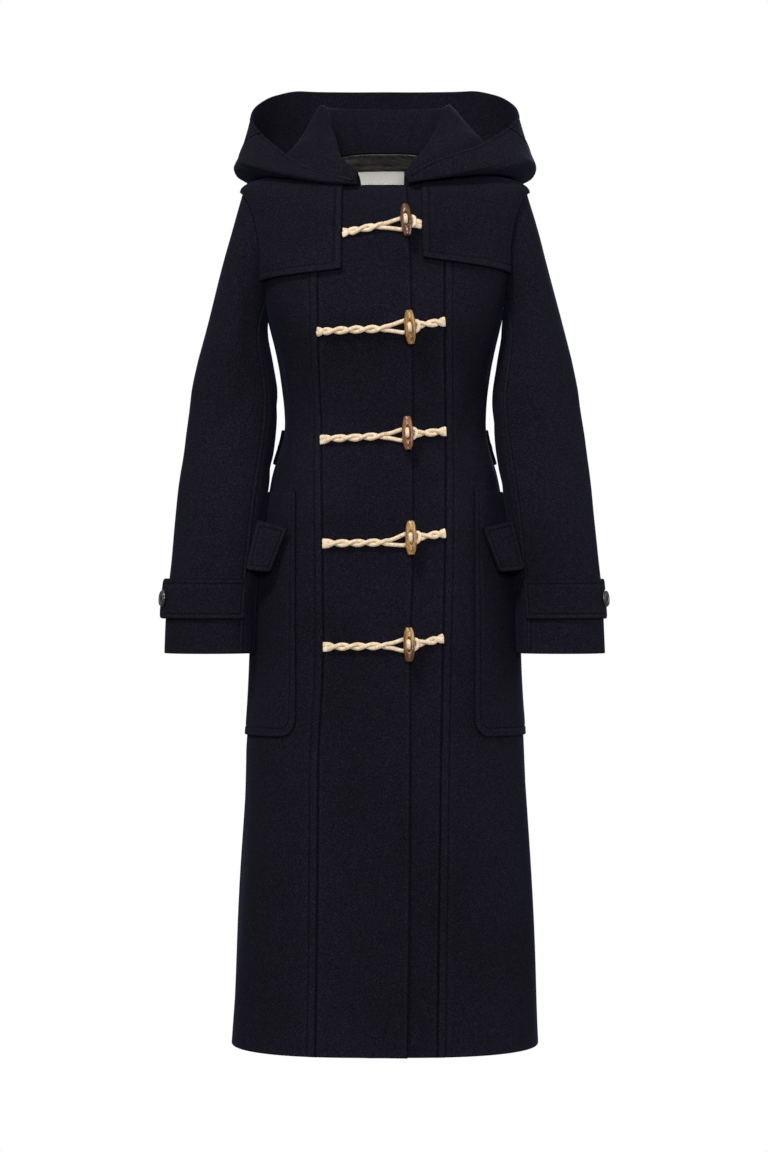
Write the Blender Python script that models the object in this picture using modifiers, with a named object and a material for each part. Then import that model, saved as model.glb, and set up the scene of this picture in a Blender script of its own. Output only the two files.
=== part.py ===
"""Long duffle coat of navy wool, filled out as it stands on a wearer's shoulders, hood down.

Metres, +Z up. The origin is the middle of the neck opening at the nape, where the shoulders
carry the coat. The wearer faces -Y, so +X is the wearer's left. Every cloth piece is a thin
closed wall on one of three smooth surfaces: the body, the sleeve and the hood. A place on the
body is (turn, run): turn is the angle round from the centre front, in degrees, and run climbs
from 0 at the hem to NECK_RUN at the neck seam.
"""
import math

import bmesh
import bpy
import numpy as np
from mathutils import Matrix, Vector

# Driving dimensions
CLOTH = 0.0024
DOUBLE_CLOTH = 0.0032
LINING = 0.0010
SEAM = 0.0003
REST = 0.0006
LAYER = CLOTH + REST
NECK_SEAM_GAP = 0.0018
RIGHT = -1
LEFT = 1

# Runs that the cut of the body turns on
ARMPIT_RUN = 0.982
SHOULDER_RUN = 1.160
NECK_RUN = 1.297
ARMHOLE_STEP = 20
FRONT_ARMHOLE_TURN = 17.0
BACK_ARMHOLE_TURN = 15.0

# Rings round the body. Heights are given at the centre front, the side and the centre back.
BODY_RINGS = (
    # run, front_height, side_height, back_height, half_width, front_depth, back_depth, squareness
    (0.000, -1.222, -1.222, -1.222, 0.2080, 0.150, 0.160, 2.9),
    (0.203, -1.019, -1.019, -1.019, 0.1985, 0.144, 0.151, 2.8),
    (0.389, -0.833, -0.833, -0.833, 0.1890, 0.136, 0.142, 2.7),
    (0.542, -0.680, -0.680, -0.680, 0.1800, 0.129, 0.136, 2.6),
    (0.656, -0.566, -0.566, -0.566, 0.1720, 0.124, 0.131, 2.5),
    (0.712, -0.510, -0.510, -0.510, 0.1640, 0.120, 0.125, 2.5),
    (0.766, -0.456, -0.456, -0.456, 0.1550, 0.111, 0.113, 2.4),
    (0.841, -0.381, -0.381, -0.381, 0.1370, 0.100, 0.100, 2.4),
    (0.902, -0.320, -0.320, -0.320, 0.1430, 0.107, 0.104, 2.3),
    (0.982, -0.240, -0.240, -0.240, 0.1600, 0.124, 0.113, 2.3),
    (1.065, -0.165, -0.150, -0.145, 0.1830, 0.114, 0.112, 2.3),
    (1.160, -0.105, -0.067, -0.045, 0.1990, 0.098, 0.100, 2.3),
    (1.225, -0.082, -0.040, -0.014, 0.1370, 0.084, 0.080, 2.3),
    (1.285, -0.070, -0.020, -0.003, 0.0820, 0.074, 0.060, 2.3),
    (1.297, -0.064, -0.012, 0.000, 0.0750, 0.070, 0.055, 2.3),
)
LOWER_RUNS = (0, 0.18, 0.36, 0.50, 0.62, 0.71, 0.766, 0.786, 0.810, 0.834, 0.87, 0.93)
SHOULDER_RUNS = (1.190, 1.225, 1.260, 1.285, NECK_RUN)
BACK_COLUMNS = 6

# The lines down the front, as X at each run
FRONT_LINES = (
    # run, right_panel_seam, left_panel_seam, top_edge
    (0.000, -0.0925, 0.0692, 0.0293),
    (0.203, -0.0905, 0.0718, 0.0319),
    (0.389, -0.0891, 0.0745, 0.0330),
    (0.542, -0.0825, 0.0778, 0.0335),
    (0.678, -0.0838, 0.0805, 0.0372),
    (0.819, -0.0865, 0.0818, 0.0372),
    (1.001, -0.0905, 0.0798, 0.0346),
    (1.060, -0.0900, 0.0800, 0.0335),
    (1.160, -0.0800, 0.0720, 0.0310),
    (1.297, -0.0570, 0.0550, 0.0290),
)
UNDERLAP_X = -0.012
LAP_STARTS_X = -0.036
LAP_FULL_X = -0.018

# Sleeve rings, level, from just under the armpit to the cuff
SLEEVE_RINGS = (
    # height, centre_out, centre_y, half_width, half_depth
    (-0.270, 0.2040, -0.004, 0.0460, 0.062),
    (-0.300, 0.2050, -0.007, 0.0520, 0.061),
    (-0.347, 0.2065, -0.014, 0.0595, 0.058),
    (-0.410, 0.2135, -0.024, 0.0610, 0.055),
    (-0.456, 0.2200, -0.034, 0.0610, 0.053),
    (-0.510, 0.2270, -0.046, 0.0610, 0.052),
    (-0.566, 0.2330, -0.053, 0.0600, 0.051),
    (-0.630, 0.2380, -0.058, 0.0620, 0.050),
    (-0.692, 0.2400, -0.062, 0.0635, 0.050),
)
CAP_ROWS = (0.0, 0.18, 0.42, 0.70)
SLEEVE_ROW_HEIGHTS = (-0.270, -0.310, -0.375, -0.450, -0.530, -0.610, -0.692)
SLEEVE_SEAM_ANGLE = 140

# The hood lies open round the neck. Each station is a section through it, square to the neck
# seam: from the seam up to the fold of the stand, down inside, round the roll that rests on
# the shoulders, and up the outer wall to the rim. "Out" is measured from the neck seam.
HOOD_STATIONS = (
    # station, heading, roll_swing, fold_out, fold_up, inner_out, inner_up, low_out, low_up,
    # outer_out, outer_up, rim_out, rim_up, left_roll_lift, left_rim_lift
    (0.00, 0, 0, 0.022, 0.060, 0.044, -0.030, 0.078, -0.145,
     0.116, -0.050, 0.092, 0.093, 0.000, 0.000),
    (0.17, 18, 0, 0.024, 0.060, 0.048, -0.030, 0.082, -0.138,
     0.119, -0.048, 0.100, 0.093, 0.000, 0.000),
    (0.33, 34, 0, 0.028, 0.060, 0.057, -0.022, 0.092, -0.105,
     0.132, -0.040, 0.121, 0.092, 0.000, 0.000),
    (0.44, 47, 0, 0.026, 0.060, 0.062, -0.008, 0.104, -0.068,
     0.140, -0.034, 0.137, 0.086, 0.000, 0.000),
    (0.52, 57, 0, 0.016, 0.059, 0.058, 0.006, 0.108, -0.051,
     0.142, -0.030, 0.136, 0.068, 0.000, 0.001),
    (0.59, 67, 0, 0.008, 0.052, 0.046, 0.012, 0.108, -0.046,
     0.138, -0.029, 0.122, 0.048, 0.000, 0.003),
    (0.66, 77, 2, 0.004, 0.034, 0.040, 0.010, 0.104, -0.044,
     0.133, -0.025, 0.105, 0.027, 0.000, 0.006),
    (0.72, 86, 4, 0.002, 0.018, 0.038, 0.004, 0.093, -0.044,
     0.126, -0.025, 0.083, 0.003, 0.001, 0.010),
    (0.79, 96, 9, 0.001, 0.003, 0.027, -0.008, 0.070, -0.048,
     0.096, -0.036, 0.061, -0.021, 0.004, 0.015),
    (0.86, 103, 12, 0.001, -0.012, 0.016, -0.021, 0.047, -0.053,
     0.066, -0.046, 0.043, -0.037, 0.006, 0.022),
    (0.93, 112, 8, 0.001, -0.028, 0.008, -0.037, 0.026, -0.056,
     0.037, -0.052, 0.027, -0.043, 0.006, 0.022),
    (1.00, 130, 0, 0.001, -0.043, 0.003, -0.049, 0.009, -0.0555,
     0.016, -0.0525, 0.013, -0.046, 0.004, 0.012),
)
HOOD_SECTION = (0.0, 0.12, 0.24, 0.42, 0.60, 0.80, 1.0)
HOOD_ROWS = (0, 0.12, 0.18, 0.24, 0.30, 0.40, 0.50, 0.57, 0.64, 0.74, 0.87, 1)
RIGHT_HOOD_END = 149.0
LEFT_HOOD_END = 154.5
HOOD_HALF_SEAM = 0.0020
# How far from the centre back the seam between side and centre panel runs, by place in section
HOOD_SEAM_PLACES = (0.0, 0.24, 0.60, 1.0)
HOOD_SEAM_STATIONS = (0.20, 0.25, 0.42, 0.67)

# The strip of lining inside the back neck, and its label
LINING_LOW_RUN = 1.13
LABEL_LOW_RUN = 1.172
LABEL_HIGH_RUN = 1.210
LABEL_HALF_WIDTH = 0.046
LABEL = 0.0008
LABEL_STANDS_IN = 0.0030

# Storm flaps over the shoulders
STORM_FLAPS = (
    # name, side, edge_x, inner_bottom_run, outer_bottom_run
    ("storm_flap_right", RIGHT, -0.0575, 1.046, 1.030),
    ("storm_flap_left", LEFT, 0.0490, 1.066, 1.040),
)
FLAP_TOP_RUN = 1.291
FLAP_ARMHOLE_GAP = 1.6
FLAP_STANDS_OFF = 0.0022

# Patch pockets and their small flaps
POCKET_INNER_X = 0.1185
POCKET_OUTER_TURN = 112.0
POCKET_BOTTOM_RUN = 0.419
POCKET_TOP_RUN = 0.748
POCKET_WIDTH = 0.175
POCKET_CORNER = 0.020
POCKET_FLAP_CORNERS = (
    # corner, x, y, z
    ("top_inner", 0.1290, -0.1010, -0.5240),
    ("top_outer", 0.1710, -0.0790, -0.5125),
    ("low_inner", 0.1520, -0.0975, -0.5835),
    ("low_outer", 0.1860, -0.0930, -0.5800),
)
POCKET_FLAP_BOW = 0.004

# Belt across the back waist, and the straps round the cuffs
BELT_LOW_RUN = 0.786
BELT_HIGH_RUN = 0.834
BELT_END_TURN = 88.0
BELT_BUTTON_TURN = 105.0
BELT_LENGTH_PER_DEGREE = 0.0021
BELT_CORNER = 0.014
STRAP_LOW = -0.6456
STRAP_HIGH = -0.5920
STRAP_END_ANGLE = -4.0
STRAP_BUTTON_ANGLE = 16.0
STRAP_LENGTH = 0.153
STRAP_CORNER = 0.020
STRAP_STANDS_OFF = {RIGHT: 0.0045, LEFT: 0.0005}

# Toggles and their cords
CORD_RADIUS = 0.0023
TOGGLE_HALF_LENGTH = 0.0225
TOGGLE_LIFT = 0.0188
TOGGLE_HOLE_RADIUS = 0.0029
TOGGLE_HOLE_OFFSET = 0.0042
BUTTON_RADIUS = 0.0115
BUTTON_THICKNESS = 0.0034
FASTENINGS = (
    # left_end_x, left_end_z, split_x, split_z, toggle_x, toggle_z, right_end_x, right_end_z, tilt
    (-0.0570, -0.1302, -0.0013, -0.1222, 0.0275, -0.1193, 0.0482, -0.1187, 0.0),
    (-0.0905, -0.2615, 0.0031, -0.2578, 0.0312, -0.2550, 0.0800, -0.2487, -6.5),
    (-0.0868, -0.4055, 0.0023, -0.4017, 0.0286, -0.3998, 0.0815, -0.3943, 0.0),
    (-0.0835, -0.5449, 0.0053, -0.5437, 0.0331, -0.5387, 0.0806, -0.5311, 0.0),
    (-0.0828, -0.6824, 0.0053, -0.6808, 0.0310, -0.6796, 0.0780, -0.6709, 0.0),
)

# Finishes: colour, roughness, metallic
FINISHES = {
    "wool": ((0.010, 0.013, 0.024), 0.95, 0.0),
    "cord": ((0.78, 0.62, 0.40), 0.85, 0.0),
    "toggle": ((0.28, 0.13, 0.05), 0.45, 0.0),
    "button": ((0.035, 0.035, 0.040), 0.40, 0.0),
    "label": ((0.68, 0.68, 0.62), 0.80, 0.0),
    "lining": ((0.035, 0.026, 0.024), 0.55, 0.0),
}


def smooth_through(stops, values, at):
    """Reads a smooth curve through the values at the stops. It never overshoots them."""
    stops = np.asarray(stops, float)
    at = np.clip(np.asarray(at, float), stops[0], stops[-1])
    values = np.asarray(values, float)
    if values.ndim == 1:
        values = np.broadcast_to(values.reshape(-1, *[1] * at.ndim), (len(stops), *at.shape))
    steps = np.diff(stops).reshape(-1, *[1] * at.ndim)
    slopes = np.diff(values, axis=0) / steps
    before, after = slopes[:-1], slopes[1:]
    total = np.where(before + after == 0, 1.0, before + after)
    middle = np.where(before * after > 0, 2 * before * after / total, 0.0)
    tangents = np.concatenate([slopes[:1], middle, slopes[-1:]])
    place = np.clip(np.searchsorted(stops, at, side="right") - 1, 0, len(stops) - 2)
    part = (at - stops[place]) / (stops[place + 1] - stops[place])
    width = stops[place + 1] - stops[place]

    def pick(table, index):
        return np.take_along_axis(table, index[None], axis=0)[0]

    start, end = pick(values, place), pick(values, place + 1)
    leave, arrive = pick(tangents, place) * width, pick(tangents, place + 1) * width
    turn_back = 2 * (start - end) + leave + arrive
    rise = 3 * (end - start) - 2 * leave - arrive
    return start + part * (leave + part * (rise + part * turn_back))


def column(table, number):
    return [row[number] for row in table]


def unit(vectors):
    return vectors / np.linalg.norm(vectors, axis=-1, keepdims=True)


def ease(value):
    """0 below 0, 1 above 1, and a soft step between."""
    value = np.clip(value, 0.0, 1.0)
    return value * value * (3 - 2 * value)


# The body surface

def ring_value(number, run):
    return smooth_through(column(BODY_RINGS, 0), column(BODY_RINGS, number), run)


def body_point(turn, run):
    """A point on the outer face of the body's cloth."""
    turn, run = np.broadcast_arrays(np.asarray(turn, float), np.asarray(run, float))
    side = np.sin(np.radians(turn))
    ahead = np.cos(np.radians(turn))
    front = ahead >= 0
    width = ring_value(4, run)
    depth = np.where(front, ring_value(5, run), ring_value(6, run))
    square = ring_value(7, run)
    reach = (np.abs(side / width) ** square + np.abs(ahead / depth) ** square) ** (-1 / square)
    side_height = ring_value(2, run)
    end_height = np.where(front, ring_value(1, run), ring_value(3, run))
    height = side_height + (end_height - side_height) * (1 - side**4)
    return np.stack([reach * side, -reach * ahead, height], axis=-1)


def body_normal(turn, run):
    across = body_point(turn + 0.5, run) - body_point(turn - 0.5, run)
    up = body_point(turn, np.asarray(run) + 0.004) - body_point(turn, np.asarray(run) - 0.004)
    return unit(np.cross(across, up))


def turn_at(x, run):
    """The turn at which the front of a ring has this X."""
    width, depth, square = (ring_value(number, run) for number in (4, 5, 7))
    ahead = depth * (1 - (np.abs(x) / width) ** square) ** (1 / square)
    return np.degrees(np.arctan2(x, ahead))


def turn_for(distance, turn, run):
    """How many degrees of turn this distance along the ring is."""
    reach = np.linalg.norm(body_point(turn + 0.5, run) - body_point(turn - 0.5, run), axis=-1)
    return distance / reach


def run_at(x, height):
    """The run at which the front has this height, at this X."""
    low, high = 0.0, NECK_RUN
    for _ in range(40):
        middle = (low + high) / 2
        if body_point(turn_at(x, middle), middle)[2] < height:
            low = middle
        else:
            high = middle
    return (low + high) / 2


def front_line(number):
    """The turn of one of the lines down the front, as a function of run."""
    runs = column(FRONT_LINES, 0)
    across = column(FRONT_LINES, number)
    return lambda run: turn_at(smooth_through(runs, across, run), run)


def armhole_width(run):
    """0 at the armpit and the shoulder point, and 1 half way between."""
    middle = (ARMPIT_RUN + SHOULDER_RUN) / 2
    half = (SHOULDER_RUN - ARMPIT_RUN) / 2
    return np.sqrt(np.clip(1 - ((np.asarray(run) - middle) / half) ** 2, 0, 1))


def front_side(run):
    return 90 - FRONT_ARMHOLE_TURN * armhole_width(run)


def back_side(run):
    return 90 + BACK_ARMHOLE_TURN * armhole_width(run)


def lap_lift(x):
    """How far the right front is lifted where it lies over the left one."""
    return LAYER * np.clip((x - LAP_STARTS_X) / (LAP_FULL_X - LAP_STARTS_X), 0, 1)


def body_runs():
    middle = (ARMPIT_RUN + SHOULDER_RUN) / 2
    half = (SHOULDER_RUN - ARMPIT_RUN) / 2
    angles = np.radians(np.arange(0, 181, ARMHOLE_STEP))
    return np.concatenate([LOWER_RUNS, middle - half * np.cos(angles), SHOULDER_RUNS])


# Making objects

def in_collection(name):
    made = bpy.data.collections.get(name) or bpy.data.collections.new(name)
    if name not in bpy.context.scene.collection.children:
        bpy.context.scene.collection.children.link(made)
    return made


def finish_of(node, finish):
    colour, roughness, metallic = FINISHES[finish]
    material = bpy.data.materials.new(f"{node} {finish}")
    material.use_nodes = True
    shader = material.node_tree.nodes["Principled BSDF"]
    shader.inputs["Base Color"].default_value = (*colour, 1)
    shader.inputs["Roughness"].default_value = roughness
    shader.inputs["Metallic"].default_value = metallic
    material.diffuse_color = (*colour, 1)
    return material


def add_object(name, data, finish):
    made = bpy.data.objects.new(name, data)
    in_collection("duffle_coat").objects.link(made)
    data.materials.append(finish_of(name, finish))
    return made


def wall(name, outer, inner, finish="wool"):
    """A closed wall between two grids of points. Solidify would take its border normals from
    one panel alone, and then neighbours would run into each other at their seam."""
    rows, columns = outer.shape[:2]
    made = bmesh.new()
    front = [[made.verts.new(point) for point in row] for row in outer]
    back = [[made.verts.new(point) for point in row] for row in inner]
    for i in range(rows - 1):
        for j in range(columns - 1):
            made.faces.new((front[i][j], front[i][j + 1], front[i + 1][j + 1], front[i + 1][j]))
            made.faces.new((back[i][j], back[i + 1][j], back[i + 1][j + 1], back[i][j + 1]))
    border = [(0, j) for j in range(columns - 1)]
    border += [(i, columns - 1) for i in range(rows - 1)]
    border += [(rows - 1, j) for j in range(columns - 1, 0, -1)]
    border += [(i, 0) for i in range(rows - 1, 0, -1)]
    for (i, j), (k, m) in zip(border, border[1:] + border[:1]):
        made.faces.new((front[i][j], back[i][j], back[k][m], front[k][m]))
    bmesh.ops.recalc_face_normals(made, faces=made.faces)
    mesh = bpy.data.meshes.new(name)
    made.to_mesh(mesh)
    made.free()
    shaded = add_object(name, mesh, finish)
    mesh.shade_smooth()
    mesh.set_sharp_from_angle(angle=math.radians(40))
    return shaded


def body_cloth(name, turn, run, lift=0.0, thickness=CLOTH, finish="wool"):
    """Cloth on the body surface: its inner face is lifted this far off the base cloth."""
    points = body_point(turn, run)
    normals = body_normal(turn, run)
    out = (np.zeros(turn.shape) + lift + thickness)[..., None]
    wall(name, points + normals * out, points + normals * (out - thickness), finish)


def base_cloth(name, turn, run, lift=0.0):
    """Cloth whose outer face is the body surface itself."""
    body_cloth(name, turn, run, lift - CLOTH)


def spread(start, end, count):
    """Columns from start to end, for each row."""
    share = np.linspace(0, 1, count + 1)
    return start[:, None] * (1 - share) + end[:, None] * share


def panel(name, start, end, columns):
    """A body panel between two lines, with half a seam left off each side."""
    runs = body_runs()
    first = start(runs)
    last = end(runs)
    way = np.sign(last[0] - first[0])
    first = first + way * turn_for(SEAM / 2, first, runs)
    last = last - way * turn_for(SEAM / 2, last, runs)
    turn = spread(first, last, columns)
    base_cloth(name, turn, np.broadcast_to(runs[:, None], turn.shape))


def top_lapping_panel(name, start, end):
    """The right front, which steps up onto the left one between two upright lines."""
    runs = body_runs()
    first = start(runs)
    first = first + turn_for(SEAM / 2, first, runs)
    starts, full, middle = (turn_at(x + 0 * runs, runs) for x in (LAP_STARTS_X, LAP_FULL_X, 0.008))
    turn = np.stack([first, (first + starts) / 2, starts, full, middle, end(runs)], axis=1)
    run = np.broadcast_to(runs[:, None], turn.shape)
    base_cloth(name, turn, run, lap_lift(body_point(turn, run)[..., 0]))


# Pieces of the body

def make_body():
    panel("front_right_side", lambda run: -front_side(run), front_line(1), 3)
    top_lapping_panel("front_right_center", front_line(1), front_line(3))
    panel("front_left_center", lambda run: turn_at(UNDERLAP_X + 0 * run, run), front_line(2), 3)
    panel("front_left_side", front_line(2), front_side, 3)
    panel("back_left", back_side, lambda run: 180 + 0 * run, BACK_COLUMNS)
    panel("back_right", lambda run: -back_side(run), lambda run: -180 + 0 * run, BACK_COLUMNS)


def make_storm_flaps():
    """Each hangs from the neck and shoulder seams, and its lower edge falls towards the arm."""
    across = np.linspace(0, 1, 8)[None, :]
    held = body_runs()
    held = np.append(held[(held > 1.08) & (held < FLAP_TOP_RUN)], FLAP_TOP_RUN)[:, None] + 0 * across
    for name, side, edge_x, inner_run, outer_run in STORM_FLAPS:
        low = inner_run + (outer_run - inner_run) * across
        run = np.concatenate([low, (2 * low + held[:1]) / 3, (low + 2 * held[:1]) / 3, held])
        edge = np.abs(turn_at(edge_x, run))
        turn = side * (edge + (front_side(run) - FLAP_ARMHOLE_GAP - edge) * across)
        hanging = np.clip((held[0] - run) / (held[0] - low), 0, 1)
        loose = 2 * REST + FLAP_STANDS_OFF * hanging**2
        body_cloth(name, turn, run, loose, DOUBLE_CLOTH)


def corner_lift(distance, radius):
    """How far a rounded corner has climbed, this far in from the side."""
    return radius - np.sqrt(np.clip(radius**2 - np.clip(radius - distance, 0, radius) ** 2, 0, None))


def make_pockets():
    """Patch pockets, from the side of the front round past the side seam."""
    share = np.concatenate([[0, 0.03], np.linspace(0.08, 0.92, 11), [0.97, 1]])
    rise = np.array([0, 0.25, 0.61, 0.88, 1])[:, None]
    from_edge = np.minimum(share, 1 - share) * POCKET_WIDTH
    climb = corner_lift(from_edge, POCKET_CORNER)
    low = POCKET_BOTTOM_RUN + climb[None, :]
    run = low + (POCKET_TOP_RUN - low) * rise
    inner = turn_at(POCKET_INNER_X, run)
    turn = inner + (POCKET_OUTER_TURN - inner) * share[None, :]
    for name, side in (("pocket_right", RIGHT), ("pocket_left", LEFT)):
        body_cloth(name, side * turn, run, REST, CLOTH)


def make_pocket_flaps():
    """Small flaps over the pockets. The outer corner stands off, in front of the sleeve."""
    top_inner, top_outer, low_inner, low_outer = (np.array(row[1:]) for row in POCKET_FLAP_CORNERS)
    across = np.linspace(0, 1, 5)[None, :, None]
    down = np.linspace(0, 1, 4)[:, None, None]
    top = top_inner + (top_outer - top_inner) * across
    low = low_inner + (low_outer - low_inner) * across
    patch = top + (low - top) * down
    patch[..., 1] -= POCKET_FLAP_BOW * np.sin(np.pi * across[..., 0])
    normal = unit(np.cross(top_outer - top_inner, top_inner - low_inner))
    for name, side in (("pocket_flap_right", RIGHT), ("pocket_flap_left", LEFT)):
        mirror = np.array([side, 1, 1])
        wall(name, (patch + normal * DOUBLE_CLOTH) * mirror, patch * mirror)


def make_half_belt():
    """The belt across the back waist, its rounded ends buttoned down at the sides."""
    half = np.concatenate([[BELT_END_TURN, 88.8, 90, 92.5], np.arange(97.5, 180, 7.5)])
    turn = np.concatenate([half, [180], 360 - half[::-1]])
    in_from_end = (180 - BELT_END_TURN - np.abs(turn - 180)) * BELT_LENGTH_PER_DEGREE
    climb = corner_lift(in_from_end, BELT_CORNER)
    rise = np.linspace(0, 1, 3)[:, None]
    low = BELT_LOW_RUN + climb
    high = BELT_HIGH_RUN - climb
    run = low + (high - low) * rise
    turn = turn + 0 * rise
    body_cloth("half_belt", turn, run, REST, DOUBLE_CLOTH)
    middle = (BELT_LOW_RUN + BELT_HIGH_RUN) / 2
    for name, turn in (("belt_button_left", BELT_BUTTON_TURN), ("belt_button_right", -BELT_BUTTON_TURN)):
        place = body_point(turn, middle)
        normal = body_normal(turn, middle)
        make_button(name, place + normal * (3 * REST + DOUBLE_CLOTH), normal)


def make_neck_lining():
    """The strip of lining that shows inside the back neck, and the blank label on it."""
    runs = body_runs()
    runs = np.append(runs[(runs > LINING_LOW_RUN) & (runs < 1.29)], NECK_RUN - 0.002)
    left = spread(back_side(runs), np.full(len(runs), 180.0), BACK_COLUMNS)[:, 2:]
    turn = np.concatenate([left, 360 - left[:, -2::-1]], axis=1)
    run = np.broadcast_to(runs[:, None], turn.shape)
    body_cloth("neck_lining", turn, run, -CLOTH - REST - LINING, LINING, "lining")
    half = np.linspace(-1, 1, 7)[None, :]
    run = np.linspace(LABEL_LOW_RUN, LABEL_HIGH_RUN, 3)[:, None] + 0 * half
    turn = 180 - np.degrees(np.arctan2(LABEL_HALF_WIDTH * half, ring_value(6, run)))
    lift = -CLOTH - 2 * REST - LINING - LABEL_STANDS_IN
    body_cloth("neck_label", turn, run, lift, LABEL, "label")


# The sleeves

def armhole_point(side, angle, scale=1.0):
    """A point of the armhole's edge: angle 0 is the shoulder point, 90 the front, 180 the armpit."""
    angle = np.radians(np.asarray(angle, float))
    middle = (ARMPIT_RUN + SHOULDER_RUN) / 2
    half = (SHOULDER_RUN - ARMPIT_RUN) / 2
    swell = np.where(np.sin(angle) >= 0, FRONT_ARMHOLE_TURN, BACK_ARMHOLE_TURN)
    turn = side * (90 - scale * swell * np.sin(angle))
    return turn, middle + scale * half * np.cos(angle)


def sleeve_ring(side, angle, height):
    out, ahead, half_width, half_depth = (
        smooth_through(column(SLEEVE_RINGS, 0)[::-1], column(SLEEVE_RINGS, number)[::-1], height)
        for number in (1, 2, 3, 4)
    )
    angle = np.radians(angle)
    x = side * (out + half_width * np.cos(angle))
    return np.stack([x, ahead - half_depth * np.sin(angle), height + 0 * angle], axis=-1)


def sleeve_point(side, angle, along):
    """A point on the sleeve's outer face: along is 0 at the armhole, 1 where the rings start,
    and 2 at the cuff."""
    angle, along = np.broadcast_arrays(np.asarray(angle, float), np.asarray(along, float))
    top = SLEEVE_RINGS[0][0]
    cuff = SLEEVE_RINGS[-1][0]
    height = top + (cuff - top) * np.clip(along - 1, 0, 1)
    below = sleeve_ring(side, angle, height)
    start = body_point(*armhole_point(side, angle, 0.993))
    end = sleeve_ring(side, angle, np.full(angle.shape, top))
    onward = unit(sleeve_ring(side, angle, np.full(angle.shape, top - 0.01)) - end)
    radians = np.radians(angle)
    leave_x = side * (0.15 + 0.15 * np.cos(radians) + 0.35 * np.sin(radians) ** 2)
    leave = unit(np.stack([leave_x, -0.25 * np.sin(radians), np.full(angle.shape, -1.0)], axis=-1))
    reach = np.linalg.norm(end - start, axis=-1)[..., None]
    share = np.clip(along, 0, 1)[..., None]
    first = start + leave * reach * 0.38
    second = end - onward * reach * 0.33
    cap = (
        start * (1 - share) ** 3
        + first * 3 * share * (1 - share) ** 2
        + second * 3 * share**2 * (1 - share)
        + end * share**3
    )
    return np.where(along[..., None] > 1, below, cap)


def sleeve_normal(side, angle, along):
    along = np.asarray(along, float)
    round_it = sleeve_point(side, angle + 1.0, along) - sleeve_point(side, angle - 1.0, along)
    low = np.clip(along - 0.02, 0, 2)
    high = np.clip(along + 0.02, 0, 2)
    down = sleeve_point(side, angle, high) - sleeve_point(side, angle, low)
    return unit(np.cross(round_it, down)) * side


def sleeve_grid(side, angle, along):
    points = sleeve_point(side, angle, along)
    normals = sleeve_normal(side, angle, along)
    at_armhole = body_normal(*armhole_point(side, angle))
    shared = ease((np.cos(np.radians(angle)) + 0.8) / 0.8) * (along == 0)
    return points, unit(normals + (at_armhole - normals) * shared[..., None])


def sleeve_height(height):
    """The place along the sleeve of a height below its first ring."""
    top = SLEEVE_RINGS[0][0]
    cuff = SLEEVE_RINGS[-1][0]
    return 1 + (np.asarray(height) - top) / (cuff - top)


def make_sleeves():
    """Each sleeve is a wide top piece and a narrow under piece, seamed in front and behind."""
    rows = np.concatenate([CAP_ROWS, sleeve_height(SLEEVE_ROW_HEIGHTS)])
    margin = math.degrees(SEAM / 2 / 0.058)
    top_angles = np.arange(-SLEEVE_SEAM_ANGLE, SLEEVE_SEAM_ANGLE + 1, ARMHOLE_STEP).astype(float)
    under_angles = np.arange(SLEEVE_SEAM_ANGLE, 361 - SLEEVE_SEAM_ANGLE, ARMHOLE_STEP).astype(float)
    for word, side in (("right", RIGHT), ("left", LEFT)):
        for part, angles in (("top", top_angles), ("under", under_angles)):
            angles = angles.copy()
            angles[0] += margin
            angles[-1] -= margin
            angle, along = np.meshgrid(angles, rows)
            points, normals = sleeve_grid(side, angle, along)
            wall(f"sleeve_{word}_{part}", points, points - normals * CLOTH)


def strap_stands_off(side, angle):
    """The strap is caught in the front seam, and comes away from the sleeve towards its end."""
    return REST + STRAP_STANDS_OFF[side] * ease((50 - angle) / 60)


def make_cuff_straps():
    """A strap from the front seam round the outside of each cuff, with a loose rounded end."""
    start = SLEEVE_SEAM_ANGLE - 1.5
    share = np.concatenate([np.linspace(0, 0.86, 10), [0.92, 0.97, 0.99, 1]])
    climb = corner_lift((1 - share) * STRAP_LENGTH, STRAP_CORNER)
    rise = np.linspace(0, 1, 3)[:, None]
    low = STRAP_LOW + climb
    high = STRAP_HIGH - climb
    height = low + (high - low) * rise
    angle = start + (STRAP_END_ANGLE - start) * share + 0 * rise
    for word, side in (("right", RIGHT), ("left", LEFT)):
        along = sleeve_height(height)
        points = sleeve_point(side, angle, along)
        normals = sleeve_normal(side, angle, along)
        loose = strap_stands_off(side, angle)[..., None]
        outer = points + normals * (loose + DOUBLE_CLOTH)
        wall(f"cuff_strap_{word}", outer, points + normals * loose)
        middle = sleeve_height((STRAP_LOW + STRAP_HIGH) / 2)
        place = sleeve_point(side, STRAP_BUTTON_ANGLE, middle)
        normal = sleeve_normal(side, STRAP_BUTTON_ANGLE, middle)
        lift = strap_stands_off(side, STRAP_BUTTON_ANGLE) + DOUBLE_CLOTH + REST + SEAM
        make_button(f"cuff_button_{word}", place + normal * lift, normal)


# The hood

def hood_table(number):
    """One column of the stations, from the right front end round the back to the left one."""
    values = column(HOOD_STATIONS, number)
    return values[:0:-1] + values


def hood_stops():
    places = column(HOOD_STATIONS, 0)
    return [-place for place in places[:0:-1]] + places


def hood_value(number, station):
    return smooth_through(hood_stops(), hood_table(number), station)


def hood_heading(station):
    turns = column(HOOD_STATIONS, 1)
    return smooth_through(hood_stops(), [-turn for turn in turns[:0:-1]] + turns, station)


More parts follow.
